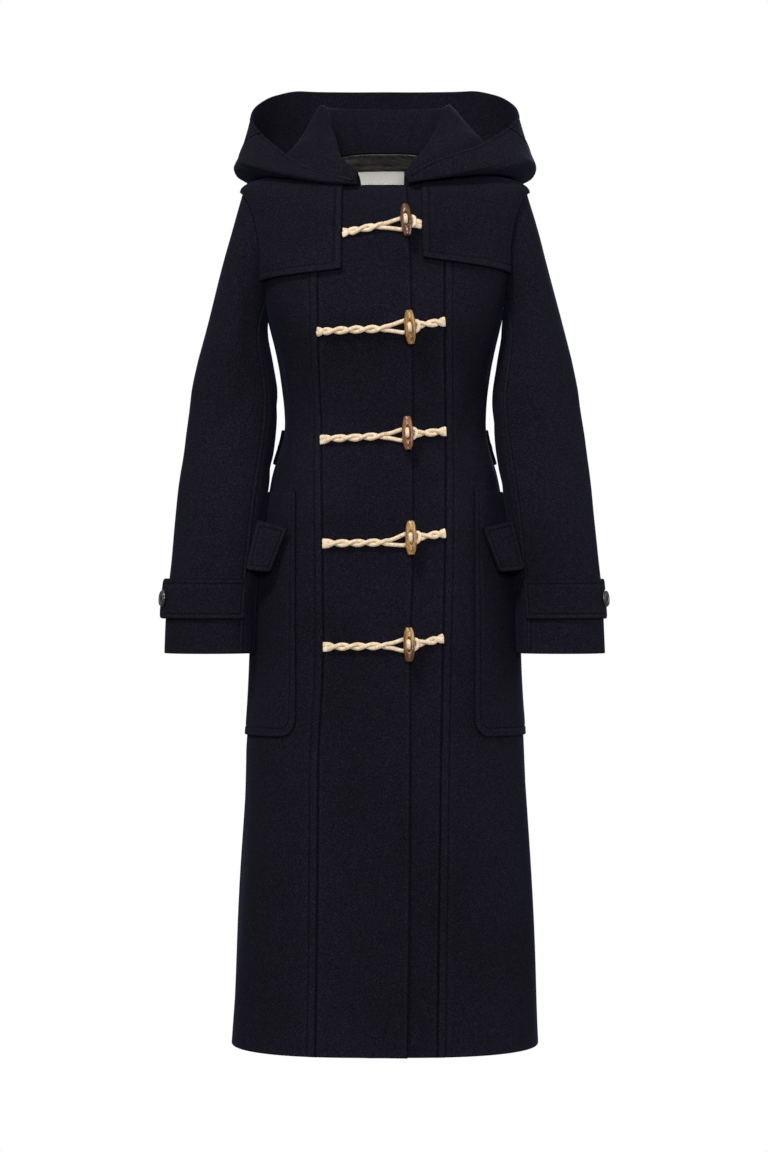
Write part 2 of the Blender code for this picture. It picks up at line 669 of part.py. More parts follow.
def hood_point(station, place):
    """A point on the hood's outside face. Station runs from -1 at the right front end to 1 at
    the left one, and place from 0 at the neck seam to 1 at the rim."""
    station, place = np.broadcast_arrays(np.asarray(station, float), np.asarray(place, float))
    end = np.where(station < 0, RIGHT_HOOD_END, LEFT_HOOD_END)
    turn = 180 - station * end
    neck = body_point(turn, NECK_RUN)
    rising = unit(neck - body_point(turn, NECK_RUN - 0.008))
    neck = neck + rising * NECK_SEAM_GAP
    on_left = (station > 0).astype(float)
    roll_lift = hood_value(13, station) * on_left
    rim_lift = hood_value(14, station) * on_left
    fold_out, fold_up, inner_out, inner_up = (hood_value(n, station) for n in (3, 4, 5, 6))
    low_out, low_up, outer_out, outer_up = (hood_value(n, station) for n in (7, 8, 9, 10))
    rim_out, rim_up = (hood_value(n, station) for n in (11, 12))
    stand_up = neck[..., 2] + (fold_up - neck[..., 2]) * 0.5
    zero = np.zeros(station.shape)
    out = np.stack([zero, fold_out * 0.3, fold_out, inner_out, low_out, outer_out, rim_out])
    up = np.stack([
        neck[..., 2], stand_up, fold_up, inner_up + rim_lift * 0.4,
        low_up + roll_lift, outer_up + roll_lift, rim_up + rim_lift,
    ])
    swing = hood_value(2, station) * np.sign(station)
    swings = np.stack([zero, zero, zero, zero, swing, swing * 0.8, zero])
    away = smooth_through(HOOD_SECTION, out, place)
    height = smooth_through(HOOD_SECTION, up, place)
    heading = np.radians(hood_heading(station) + smooth_through(HOOD_SECTION, swings, place))
    x = neck[..., 0] + away * np.sin(heading)
    y = neck[..., 1] + away * np.cos(heading)
    return np.stack([x, y, height], axis=-1)


def hood_normal(station, place):
    round_it = hood_point(station + 0.004, place) - hood_point(station - 0.004, place)
    low = np.clip(np.asarray(place) - 0.006, 0, 1)
    high = np.clip(np.asarray(place) + 0.006, 0, 1)
    up = hood_point(station, high) - hood_point(station, low)
    return unit(np.cross(up, round_it))


def hood_piece(name, start, end, columns):
    rows = np.array(HOOD_ROWS, float)
    station = spread(start(rows), end(rows), columns)
    place = np.broadcast_to(rows[:, None], station.shape)
    points = hood_point(station, place)
    normals = hood_normal(station, place)
    end_turn = np.where(station < 0, RIGHT_HOOD_END, LEFT_HOOD_END)
    at_neck = body_normal(180 - station * end_turn, np.full(station.shape, NECK_RUN))
    normals = np.where(place[..., None] == 0, at_neck, normals)
    wall(name, points, points - normals * CLOTH)


def make_hood():
    """Two side pieces and a centre piece that widens from the neck to the rim."""
    def seam(rows):
        return smooth_through(HOOD_SEAM_PLACES, HOOD_SEAM_STATIONS, rows)

    hood_piece("hood_right", lambda rows: -1 + 0 * rows, lambda rows: -seam(rows) - HOOD_HALF_SEAM, 9)
    hood_piece("hood_center", lambda rows: -seam(rows) + HOOD_HALF_SEAM, lambda rows: seam(rows) - HOOD_HALF_SEAM, 12)
    hood_piece("hood_left", lambda rows: seam(rows) + HOOD_HALF_SEAM, lambda rows: 1 + 0 * rows, 9)


# Buttons, toggles and cords

def make_button(name, place, normal):
    """A round button whose back rests at the place, facing along the normal."""
    made = bmesh.new()
    bmesh.ops.create_cone(
        made, cap_ends=True, segments=16,
        radius1=BUTTON_RADIUS, radius2=BUTTON_RADIUS * 0.88, depth=BUTTON_THICKNESS,
    )
    mesh = bpy.data.meshes.new(name)
    made.to_mesh(mesh)
    made.free()
    button = add_object(name, mesh, "button")
    normal = Vector(normal)
    button.rotation_euler = normal.to_track_quat("Z", "Y").to_euler()
    button.location = Vector(place) + normal * (BUTTON_THICKNESS / 2)


def front_frame(x, height):
    """A point of the front at this X and height, with its outward and upward directions."""
    run = run_at(x, height)
    turn = turn_at(x, run)
    point = body_point(turn, run)
    normal = body_normal(turn, run)
    up = unit(body_point(turn, run + 0.003) - body_point(turn, run - 0.003))
    return point, normal, up


def front_spot(x, height, lift):
    point, normal, _ = front_frame(x, height)
    return point + normal * lift


def toggle_profile():
    """Half of a toggle's outline, as (radius, height), from the middle of one end to the other."""
    half = TOGGLE_HALF_LENGTH
    side = [(0.0042, half), (0.0058, half - 0.004), (0.0070, half - 0.010), (0.0075, half - 0.017)]
    down = [(radius, -height) for radius, height in side[::-1]]
    return [(0.0, half)] + side + down + [(0.0, -half)]


def make_toggle(name, x, height, tilt):
    """A horn-shaped toggle, with two holes across it for its cord."""
    point, normal, up = front_frame(x, height)
    across = np.cross(-normal, up)
    basis = Matrix((across, -normal, up)).transposed().to_4x4()
    basis.translation = point + normal * TOGGLE_LIFT
    basis = basis @ Matrix.Rotation(math.radians(tilt), 4, "Y")
    mesh = bpy.data.meshes.new(name)
    profile = toggle_profile()
    mesh.from_pydata([(radius, 0, z) for radius, z in profile], [(i, i + 1) for i in range(len(profile) - 1)], [])
    toggle = add_object(name, mesh, "toggle")
    toggle.matrix_world = basis
    turned = toggle.modifiers.new("turned", "SCREW")
    turned.steps = 12
    turned.render_steps = 12
    turned.use_merge_vertices = True
    turned.merge_threshold = 0.00001
    for sign in (1, -1):
        cutter = make_hole_cutter(f"{name}_hole_{'upper' if sign > 0 else 'lower'}")
        cutter.matrix_world = basis @ Matrix.Translation((0, 0, sign * TOGGLE_HOLE_OFFSET))
        hole = toggle.modifiers.new("hole", "BOOLEAN")
        hole.operation = "DIFFERENCE"
        hole.object = cutter
    return toggle


def make_hole_cutter(name):
    made = bmesh.new()
    bmesh.ops.create_cone(
        made, cap_ends=True, segments=10,
        radius1=TOGGLE_HOLE_RADIUS, radius2=TOGGLE_HOLE_RADIUS, depth=0.03,
    )
    bmesh.ops.rotate(made, verts=made.verts, matrix=Matrix.Rotation(math.pi / 2, 3, "X"))
    mesh = bpy.data.meshes.new(name)
    made.to_mesh(mesh)
    made.free()
    cutter = bpy.data.objects.new(name, mesh)
    in_collection("cutters").objects.link(cutter)
    cutter.hide_render = True
    cutter.display_type = "WIRE"
    return cutter


def smooth_route(points, spacing):
    """Points a spacing apart along a smooth curve through the route's points."""
    points = [np.asarray(point, float) for point in points]
    ends = [2 * points[0] - points[1]] + points + [2 * points[-1] - points[-2]]
    made = [points[0]]
    for before, start, end, after in zip(ends, ends[1:], ends[2:], ends[3:]):
        length = np.linalg.norm(end - start)
        count = max(1, round(length / spacing))
        for step in range(1, count + 1):
            t = step / count
            made.append(0.5 * (
                2 * start + (end - before) * t
                + (2 * before - 5 * start + 4 * end - after) * t**2
                + (3 * start - before - 3 * end + after) * t**3
            ))
    return made


def make_cord(name, route):
    """A round cord along the route."""
    points = smooth_route(route, 0.018)
    curve = bpy.data.curves.new(name, "CURVE")
    curve.dimensions = "3D"
    curve.bevel_depth = CORD_RADIUS
    curve.bevel_resolution = 1
    curve.use_fill_caps = True
    spline = curve.splines.new("POLY")
    spline.points.add(len(points) - 1)
    for slot, point in zip(spline.points, points):
        slot.co = (*point, 1)
    return add_object(name, curve, "cord")


def fastening_line(row, x):
    """The height of a fastening's middle line at this X."""
    return smooth_through([row[0], row[2], row[4], row[6]], [row[1], row[3], row[5], row[7]], x)


def loop_route(row):
    """The doubled cord from the right panel's seam to the loop behind the toggle, as there and
    back again: the loop lies over the toggle's own cord, and under the toggle."""
    start, split, toggle = row[0], row[2], row[4]
    close = CORD_RADIUS + SEAM
    on_panel = CORD_RADIUS + 2 * REST
    over = on_panel + 2 * CORD_RADIUS + REST
    way = (
        # x, spread, lift over the panel
        (start + 0.0035, close, on_panel),
        ((start + LAP_STARTS_X) / 2, close, on_panel),
        (LAP_STARTS_X - 0.004, close, on_panel),
        (LAP_FULL_X - 0.002, close, on_panel + 0.0004),
        (split - 0.004, close, on_panel),
        (split + 0.010, 0.0056, on_panel),
        (toggle - 0.009, 0.0094, on_panel),
        (toggle - 0.001, 0.0104, on_panel),
        (toggle + 0.0065, 0.0100, over - 0.0018),
        (toggle + 0.0112, 0.0062, over),
        (toggle + 0.0128, 0.0, over),
    )
    upper = [spot_on_line(row, x, up, lift + lap_lift(x)) for x, up, lift in way]
    lower = [spot_on_line(row, x, -up, lift + lap_lift(x)) for x, up, lift in way[-2::-1]]
    return upper + lower


def toggle_route(row):
    """The toggle's cord from the left panel's seam, through both holes, and back."""
    toggle, end = row[4], row[6]
    close = CORD_RADIUS + SEAM
    on_panel = CORD_RADIUS + 2 * REST
    hole = TOGGLE_HOLE_OFFSET
    front = TOGGLE_LIFT + 0.0075
    on_lap = LAYER + on_panel
    way = (
        # x, spread, lift over the base cloth
        (end - 0.0035, close, on_panel),
        (toggle + (end - toggle) * 0.62, close, on_panel + 0.0006),
        (toggle + 0.0150, close + 0.0004, on_lap),
        (toggle + 0.0080, hole - 0.0003, on_lap),
        (toggle + 0.0036, hole, on_lap + 0.0008),
        (toggle + 0.0005, hole, on_lap + 0.0042),
        (toggle, hole, on_lap + 0.0080),
        (toggle, hole, front - 0.0020),
        (toggle, hole - 0.0006, front + 0.0014),
        (toggle, hole - 0.0026, front + 0.0031),
    )
    upper = [spot_on_line(row, x, up, lift) for x, up, lift in way]
    lower = [spot_on_line(row, x, -up, lift) for x, up, lift in way[::-1]]
    return upper + lower


def spot_on_line(row, x, up, lift):
    """A spot beside a fastening's line. Near the toggle it keeps the toggle's own directions,
    and leans with it."""
    toggle, height, tilt = row[4], row[5], math.radians(row[8])
    if abs(x - toggle) < 0.0075 and lift > LAYER + 2 * CORD_RADIUS:
        point, normal, rise = front_frame(toggle, height)
        across = np.cross(-normal, rise)
        right = (x - toggle) + up * math.sin(tilt)
        return point + across * right + rise * up * math.cos(tilt) + normal * lift
    return front_spot(x, float(fastening_line(row, x)) + up, lift)


def make_fastenings():
    for number, row in enumerate(FASTENINGS, start=1):
        make_toggle(f"toggle_{number}", row[4], row[5], row[8])
        make_cord(f"loop_cord_{number}", loop_route(row))
        make_cord(f"toggle_cord_{number}", toggle_route(row))


def main():
    for old in list(bpy.data.objects):
        bpy.data.objects.remove(old)
    make_body()
    make_storm_flaps()
    make_pockets()
    make_pocket_flaps()
    make_half_belt()
    make_neck_lining()
    make_sleeves()
    make_cuff_straps()
    make_hood()
    make_fastenings()


main()
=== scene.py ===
"""Looks of the long duffle coat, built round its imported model.

Every cloth piece is a thin shell close to the surface its solid was cut from, with seams,
topstitching and soft creases. A place on the body is (turn, run): turn is the angle round from the centre
front, in degrees, and run climbs from 0 at the hem to NECK_RUN at the neck seam.
"""
import collections
import math

import bmesh
import bpy
import numpy as np
from mathutils import Matrix, Vector


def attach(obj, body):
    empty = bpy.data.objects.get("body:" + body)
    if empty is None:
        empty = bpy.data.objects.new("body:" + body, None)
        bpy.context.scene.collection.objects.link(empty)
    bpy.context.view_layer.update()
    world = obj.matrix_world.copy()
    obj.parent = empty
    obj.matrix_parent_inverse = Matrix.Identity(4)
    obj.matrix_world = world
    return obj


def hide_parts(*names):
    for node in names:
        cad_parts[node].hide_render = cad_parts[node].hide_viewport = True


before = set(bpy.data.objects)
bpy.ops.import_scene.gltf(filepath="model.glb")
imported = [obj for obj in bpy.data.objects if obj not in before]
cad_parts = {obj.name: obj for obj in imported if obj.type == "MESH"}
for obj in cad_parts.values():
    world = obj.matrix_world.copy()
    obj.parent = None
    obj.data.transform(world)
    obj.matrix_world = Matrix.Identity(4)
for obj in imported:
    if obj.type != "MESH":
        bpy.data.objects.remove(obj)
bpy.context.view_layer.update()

# The sizes and tables of the cut. The outline of the body, sleeves and hood differs a little from
# that of the solids.
CLOTH = 0.0024
DOUBLE_CLOTH = 0.0032
LINING = 0.0010
REST = 0.0006
LAYER = CLOTH + REST
NECK_SEAM_GAP = 0.0006
RIGHT = -1
LEFT = 1
SIDES = (("right", RIGHT), ("left", LEFT))

# Body
ARMPIT_RUN = 0.982
SHOULDER_RUN = 1.160
ARMHOLE_MIDDLE = (ARMPIT_RUN + SHOULDER_RUN) / 2
ARMHOLE_HALF = (SHOULDER_RUN - ARMPIT_RUN) / 2
NECK_RUN = 1.297
FRONT_ARMHOLE_TURN = 17.0
BACK_ARMHOLE_TURN = 15.0
BODY_RINGS = (
    # run, front_height, side_height, back_height, half_width, front_depth, back_depth, squareness
    (0.000, -1.225, -1.222, -1.222, 0.2100, 0.150, 0.160, 2.9),
    (0.203, -1.019, -1.019, -1.019, 0.2010, 0.144, 0.151, 2.8),
    (0.389, -0.833, -0.833, -0.833, 0.1910, 0.136, 0.142, 2.7),
    (0.542, -0.680, -0.680, -0.680, 0.1800, 0.129, 0.136, 2.6),
    (0.656, -0.566, -0.566, -0.566, 0.1720, 0.124, 0.131, 2.5),
    (0.712, -0.510, -0.510, -0.510, 0.1640, 0.120, 0.125, 2.5),
    (0.766, -0.456, -0.456, -0.456, 0.1550, 0.111, 0.113, 2.4),
    (0.841, -0.381, -0.381, -0.381, 0.1370, 0.100, 0.100, 2.4),
    (0.902, -0.320, -0.320, -0.320, 0.1430, 0.107, 0.104, 2.3),
    (0.982, -0.240, -0.240, -0.240, 0.1600, 0.124, 0.113, 2.3),
    (1.065, -0.165, -0.150, -0.145, 0.1830, 0.114, 0.112, 2.3),
    (1.160, -0.105, -0.064, -0.045, 0.1945, 0.098, 0.100, 2.3),
    (1.225, -0.082, -0.040, -0.014, 0.1370, 0.084, 0.080, 2.3),
    (1.285, -0.070, -0.020, -0.003, 0.0820, 0.074, 0.060, 2.3),
    (1.297, -0.064, -0.012, 0.000, 0.0750, 0.070, 0.055, 2.3),
)
FRONT_LINES = (
    # run, right_panel_seam, left_panel_seam, top_edge
    (0.000, -0.0925, 0.0692, 0.0293),
    (0.203, -0.0905, 0.0718, 0.0319),
    (0.389, -0.0891, 0.0745, 0.0330),
    (0.542, -0.0825, 0.0778, 0.0335),
    (0.678, -0.0838, 0.0805, 0.0372),
    (0.819, -0.0865, 0.0818, 0.0372),
    (1.001, -0.0905, 0.0798, 0.0346),
    (1.060, -0.0900, 0.0800, 0.0335),
    (1.160, -0.0800, 0.0720, 0.0310),
    (1.297, -0.0570, 0.0550, 0.0290),
)
UNDERLAP_X = -0.012
LAP_STARTS_X = -0.036
LAP_FULL_X = -0.018
FRONT_SWING = 0.0035

# Sleeves
SLEEVE_RINGS = (
    # height, centre_out, centre_y, half_width, half_depth
    (-0.270, 0.2030, -0.004, 0.0450, 0.062),
    (-0.300, 0.2040, -0.007, 0.0515, 0.061),
    (-0.347, 0.2050, -0.014, 0.0590, 0.058),
    (-0.410, 0.2112, -0.025, 0.0612, 0.055),
    (-0.456, 0.2176, -0.036, 0.0612, 0.053),
    (-0.510, 0.2238, -0.047, 0.0600, 0.052),
    (-0.566, 0.2292, -0.053, 0.0596, 0.051),
    (-0.630, 0.2350, -0.058, 0.0600, 0.050),
    (-0.692, 0.2370, -0.062, 0.0605, 0.050),
)
SLEEVE_TOP = SLEEVE_RINGS[0][0]
SLEEVE_END = SLEEVE_RINGS[-1][0]
SLEEVE_REACH = 0.058
SLEEVE_SEAM_ANGLE = 140

# Hood: out is away from the neck seam, and up is a height. The left half differs a little.
HOOD_STATIONS = (
    # station, heading, roll_swing, fold_out, fold_up, inner_out, inner_up, low_out, low_up,
    # outer_out, outer_up, rim_out, rim_up, left_roll_lift, left_rim_lift, left_inner_swell
    (0.00, 0, 0, 0.022, 0.060, 0.044, -0.030, 0.078, -0.145,
     0.116, -0.050, 0.092, 0.098, 0.000, 0.000, 0.000),
    (0.17, 18, 0, 0.024, 0.060, 0.048, -0.030, 0.082, -0.138,
     0.119, -0.048, 0.100, 0.098, 0.000, 0.000, 0.000),
    (0.33, 34, 0, 0.028, 0.060, 0.057, -0.022, 0.092, -0.105,
     0.132, -0.040, 0.116, 0.098, 0.000, 0.000, 0.002),
    (0.44, 47, 0, 0.026, 0.060, 0.062, -0.008, 0.106, -0.068,
     0.144, -0.034, 0.121, 0.087, 0.000, 0.000, 0.006),
    (0.52, 57, 0, 0.016, 0.059, 0.057, 0.006, 0.113, -0.051,
     0.147, -0.030, 0.125, 0.069, 0.000, 0.001, 0.012),
    (0.59, 67, 0, 0.008, 0.052, 0.044, 0.012, 0.113, -0.047,
     0.143, -0.030, 0.120, 0.048, 0.000, 0.003, 0.016),
    (0.66, 77, 2, 0.004, 0.034, 0.036, 0.010, 0.108, -0.045,
     0.137, -0.026, 0.105, 0.027, 0.000, 0.006, 0.016),
    (0.72, 86, 4, 0.002, 0.018, 0.036, 0.004, 0.095, -0.045,
     0.128, -0.026, 0.083, 0.003, 0.001, 0.010, 0.010),
    (0.79, 96, 9, 0.001, 0.003, 0.027, -0.008, 0.070, -0.050,
     0.096, -0.038, 0.061, -0.021, 0.004, 0.015, 0.003),
    (0.86, 103, 12, 0.001, -0.012, 0.016, -0.021, 0.047, -0.057,
     0.066, -0.048, 0.043, -0.037, 0.006, 0.020, 0.000),
    (0.93, 112, 8, 0.001, -0.028, 0.008, -0.037, 0.027, -0.0605,
     0.037, -0.0555, 0.027, -0.045, 0.005, 0.018, 0.000),
    (1.00, 130, 0, 0.001, -0.046, 0.003, -0.053, 0.009, -0.0615,
     0.015, -0.0585, 0.012, -0.052, 0.002, 0.008, 0.000),
)
HOOD_AROUND = 0.36
HOOD_UP = 0.42
HOOD_SECTION = (0.0, 0.12, 0.24, 0.42, 0.60, 0.80, 1.0)
STAND_STITCH_PLACE = 0.15
STAND_STITCH_END = 0.62
RIGHT_FOLD_LEAN = 0.013
RIGHT_FOLD_PLACE = 0.91
RIGHT_FOLD_SPREAD = 0.09
RIGHT_HOOD_END = 153.5
LEFT_HOOD_END = 159.0
HOOD_SEAM_PLACES = (0.0, 0.24, 0.60, 1.0)
HOOD_SEAM_STATIONS = (0.20, 0.25, 0.42, 0.67)

# Storm flaps, lining and label
STORM_FLAPS = (
    # side's word, side, edge_x, inner_bottom_run, outer_bottom_run
    ("right", RIGHT, -0.0575, 1.046, 1.030),
    ("left", LEFT, 0.0490, 1.066, 1.040),
)
FLAP_TOP_RUN = 1.291
FLAP_ARMHOLE_GAP = 1.6
FLAP_FREE_RUN = 1.08
FLAP_STANDS_OFF = 0.0022
LINING_LOW_RUN = 1.135
LABEL_LOW_RUN = 1.172
LABEL_HIGH_RUN = 1.210
LABEL_HALF_WIDTH = 0.046
LABEL_HEIGHT = 0.045
LABEL_STITCH_INSET = 0.0030
LABEL = 0.0008
LABEL_STANDS_IN = 0.0030

# Pockets and their flaps, half belt and cuff straps
POCKET_INNER_X = 0.1185
POCKET_OUTER_TURN = 112.0
POCKET_BOTTOM_RUN = 0.419
POCKET_TOP_RUN = 0.748
POCKET_WIDTH = 0.245
POCKET_CORNER = 0.026
POCKET_BULGE = 0.0050
POCKET_BULGE_TURN = 86
POCKET_BULGE_SPREAD = 34
POCKET_BULGE_RUN = 0.62
POCKET_BULGE_REACH = 0.17
POCKET_FLAP_CORNERS = (
    # corner, x, y, z
    ("low_inner", 0.1520, -0.0975, -0.5835),
    ("low_outer", 0.1860, -0.0930, -0.5800),
    ("top_inner", 0.1290, -0.1010, -0.5240),
    ("top_outer", 0.1710, -0.0790, -0.5125),
)
POCKET_FLAP_BOW = 0.004
POCKET_FLAP_WIDTH = 0.047
POCKET_FLAP_HEIGHT = 0.062
BELT_LOW_RUN = 0.786
BELT_HIGH_RUN = 0.834
BELT_END_TURN = 88.0
BELT_BUTTON_TURN = 105.0
BELT_CORNER = 0.014
STRAP_LOW = -0.6456
STRAP_HIGH = -0.5920
STRAP_END_ANGLE = -4.0
STRAP_BUTTON_ANGLE = 16.0
STRAP_LENGTH = 0.153
STRAP_CORNER = 0.020
STRAP_STANDS_OFF = {RIGHT: 0.0045, LEFT: 0.0005}

# The cords. CORD_RADIUS is that of the solids and spaces their layers. STRAND is the radius here.
CORD_RADIUS = 0.0023
STRAND = 0.0027
CORD_LIFT = LAYER + STRAND + 0.0004
TWIST = 0.0205
TAIL_SPREAD = 0.0027
BRIDGE_SHIFT = -0.0011
CORD_LAY = 0.0092
CORD_GIRTH = 0.017
CORD_END_LENGTH = 0.019
CORD_END_FLATNESS = 0.45

# Buttons, toggles and the five fastenings, from the top one down
BUTTON_RADIUS = 0.0115
BUTTON_THICKNESS = 0.0034
BUTTON_HOLE_OUT = 0.0021
BUTTON_THREAD_RADIUS = 0.00035
TOGGLE_HALF_LENGTH = 0.0225
TOGGLE_LIFT = 0.0188
TOGGLE_HOLE_OFFSET = 0.0042
HOLLOW_HALF_WIDTH = 0.0038
HOLLOW_HALF_LENGTH = 0.0115
HOLLOW_DEPTH = 0.0042
TOGGLE_OUTLINE = (
    # share of half length, half width, half depth
    (0.00, 0.0075, 0.0068),
    (0.24, 0.0075, 0.0068),
    (0.55, 0.0068, 0.0062),
    (0.80, 0.0056, 0.0052),
    (0.93, 0.0046, 0.0043),
    (0.985, 0.0042, 0.0039),
    (1.00, 0.0036, 0.0033),
)
Fastening = collections.namedtuple(
    "Fastening", "left_x left_z split_x split_z toggle_x toggle_z right_x right_z tilt"
)
FASTENINGS = (
    # left_x, left_z, split_x, split_z, toggle_x, toggle_z, right_x, right_z, tilt
    (-0.0570, -0.1302, -0.0013, -0.1222, 0.0275, -0.1193, 0.0482, -0.1187, 0.0),
    (-0.0905, -0.2615, 0.0031, -0.2578, 0.0312, -0.2550, 0.0800, -0.2487, -6.5),
    (-0.0868, -0.4055, 0.0023, -0.4017, 0.0286, -0.3998, 0.0815, -0.3943, 0.0),
    (-0.0835, -0.5449, 0.0053, -0.5437, 0.0331, -0.5387, 0.0806, -0.5311, 0.0),
    (-0.0828, -0.6824, 0.0053, -0.6808, 0.0310, -0.6796, 0.0780, -0.6709, 0.0),
)

# What sewing does to the cloth
EDGE_ROUND = 0.0011
WELT_WIDTH = 0.0110
WELT_RISE = 0.0009
STITCH_DIP = 0.0010
PLAIN_SEAM_DIP = 0.0012
PLAIN_SEAM_WIDTH = 0.0026
WELT_SEAM_DIP = 0.0018
STITCH_DIP_WIDTH = 0.0011
STITCH_PITCH = 0.0042
STITCH_LENGTH = 0.0030
STITCH_RADIUS = 0.00032
GRID_STEP = 0.006
HALF_SEAM = 0.00002
TOPSTITCH_INSET = 0.0100
EDGE_STITCH_INSET = 0.0065
STITCH_INSETS = {"welt": WELT_WIDTH, "topstitched": TOPSTITCH_INSET, "edge_stitched": EDGE_STITCH_INSET}

# Distances in from a seam and from a free edge where the mesh has lines of its own
NEAR_SEAM = (
    0, 0.0003, 0.0008, 0.0015, 0.0028, 0.0045, 0.0058, 0.0065, 0.0072, 0.0085, 0.0093, 0.0100, 0.0107,
    0.0112, 0.0119, 0.0130, 0.0145,
)
NEAR_EDGE = (0, 0.0003, 0.0008, 0.0015, 0.0030)

# Painted shade and painted highlight: how much darker the colour is made along seams, edges and rows of
# stitches, and how much paler just beside them
PAINTED_EDGE_SHADE = 0.62
PAINTED_STITCH_SHADE = 0.42
PAINTED_HIGHLIGHT = 0.22

# Creases and soft folds of the body, as lines on it. A trough has a negative depth.
BODY_CREASES = (
    # start_turn, start_run, end_turn, end_run, half_width, depth
    (62, 0.99, 48, 0.80, 0.016, -0.0030),
    (-63, 0.98, -47, 0.79, 0.018, -0.0034),
    (72, 0.93, 58, 0.72, 0.015, 0.0026),
    (-71, 0.92, -59, 0.71, 0.014, 0.0028),
    (82, 0.97, 70, 0.87, 0.010, -0.0022),
    (-84, 0.96, -72, 0.86, 0.011, -0.0024),
    (38, 0.86, 62, 0.80, 0.010, -0.0012),
    (-36, 0.87, -60, 0.81, 0.011, -0.0014),
    (30, 0.66, 38, 0.10, 0.040, -0.0022),
    (-34, 0.60, -44, 0.04, 0.046, -0.0026),
    (58, 0.50, 66, 0.00, 0.034, 0.0034),
    (-60, 0.46, -70, 0.00, 0.036, 0.0036),
    (80, 0.42, 86, 0.00, 0.030, -0.0040),
    (-84, 0.38, -88, 0.00, 0.030, -0.0042),
    (4, 0.62, 10, 0.06, 0.030, 0.0012),
    (120, 1.10, 138, 0.88, 0.020, -0.0030),
    (-122, 1.11, -140, 0.90, 0.022, -0.0034),
    (150, 1.02, 164, 0.85, 0.018, -0.0022),
    (-152, 1.04, -166, 0.86, 0.020, -0.0020),
    (112, 0.76, 118, 0.00, 0.036, -0.0044),
    (-114, 0.75, -121, 0.00, 0.034, -0.0042),
    (134, 0.74, 140, 0.00, 0.038, 0.0050),
    (-133, 0.73, -142, 0.00, 0.040, 0.0046),
    (156, 0.75, 160, 0.02, 0.034, -0.0036),
    (-154, 0.76, -161, 0.00, 0.036, -0.0040),
    (128, 0.862, 170, 0.868, 0.010, -0.0016),
    (-126, 0.866, -166, 0.858, 0.010, -0.0018),
    (36, 1.10, 58, 1.03, 0.016, -0.0012),
    (-40, 1.11, -58, 1.05, 0.018, -0.0014),
)
SLEEVE_CREASES = (
    # start_angle, start_height, end_angle, end_height, half_width, depth
    (70, -0.150, 120, -0.300, 0.014, -0.0034),
    (96, -0.200, 60, -0.400, 0.016, 0.0026),
    (40, -0.180, 66, -0.420, 0.014, -0.0024),
    (110, -0.330, 30, -0.440, 0.012, -0.0020),
    (128, -0.420, 70, -0.455, 0.010, -0.0022),
    (20, -0.400, 80, -0.560, 0.016, -0.0016),
    (100, -0.500, 60, -0.600, 0.015, -0.0014),
    (-40, -0.160, -70, -0.380, 0.016, -0.0028),
    (-96, -0.220, -70, -0.420, 0.016, -0.0026),
    (-120, -0.360, -60, -0.440, 0.012, -0.0024),
    (-128, -0.460, -80, -0.470, 0.010, -0.0018),
    (-30, -0.430, -70, -0.590, 0.015, 0.0018),
    (0, -0.140, -6, -0.420, 0.020, 0.0016),
    (160, -0.330, 215, -0.420, 0.012, -0.0024),
    (150, -0.450, 210, -0.440, 0.011, -0.0018),
)
HOOD_CREASES = (
    # start_station, start_place, end_station, end_place, half_width, depth
    (0.62, 0.98, 0.88, 0.62, 0.008, -0.0018),
    (-0.60, 0.96, -0.86, 0.64, 0.008, -0.0018),
    (0.30, 0.92, 0.56, 0.66, 0.016, -0.0030),
    (-0.34, 0.90, -0.60, 0.68, 0.018, -0.0034),
    (-0.05, 0.88, 0.10, 0.62, 0.022, -0.0040),
    (0.04, 0.30, 0.20, 0.42, 0.014, -0.0020),
    (-0.08, 0.32, -0.24, 0.44, 0.014, -0.0024),
)


def smooth_through(stops, values, at):
    """Reads a smooth curve through the values at the stops. It never overshoots them."""
    stops = np.asarray(stops, float)
    at = np.clip(np.asarray(at, float), stops[0], stops[-1])
    values = np.asarray(values, float)
    if values.ndim == 1:
        values = np.broadcast_to(values.reshape(-1, *[1] * at.ndim), (len(stops), *at.shape))
    steps = np.diff(stops).reshape(-1, *[1] * at.ndim)
    slopes = np.diff(values, axis=0) / steps
    before, after = slopes[:-1], slopes[1:]
    total = np.where(before + after == 0, 1.0, before + after)
    middle = np.where(before * after > 0, 2 * before * after / total, 0.0)
    tangents = np.concatenate([slopes[:1], middle, slopes[-1:]])
    place = np.clip(np.searchsorted(stops, at, side="right") - 1, 0, len(stops) - 2)
    part = (at - stops[place]) / (stops[place + 1] - stops[place])
    width = stops[place + 1] - stops[place]

    def pick(table, index):
        return np.take_along_axis(table, index[None], axis=0)[0]

    start, end = pick(values, place), pick(values, place + 1)
    leave, arrive = pick(tangents, place) * width, pick(tangents, place + 1) * width
    turn_back = 2 * (start - end) + leave + arrive
    rise = 3 * (end - start) - 2 * leave - arrive
    return start + part * (leave + part * (rise + part * turn_back))


def column(table, number):
    return [row[number] for row in table]


def unit(vectors):
    return vectors / np.linalg.norm(vectors, axis=-1, keepdims=True)


def bell(distance, width):
    """1 at no distance, falling smoothly to next to nothing at twice the width."""
    return np.exp(-((distance / width) ** 2))


def ease(value):
    """0 below 0, 1 above 1, and a soft step between."""
    value = np.clip(value, 0.0, 1.0)
    return value * value * (3 - 2 * value)


# The body surface

def ring_value(number, run):
    return smooth_through(column(BODY_RINGS, 0), column(BODY_RINGS, number), run)


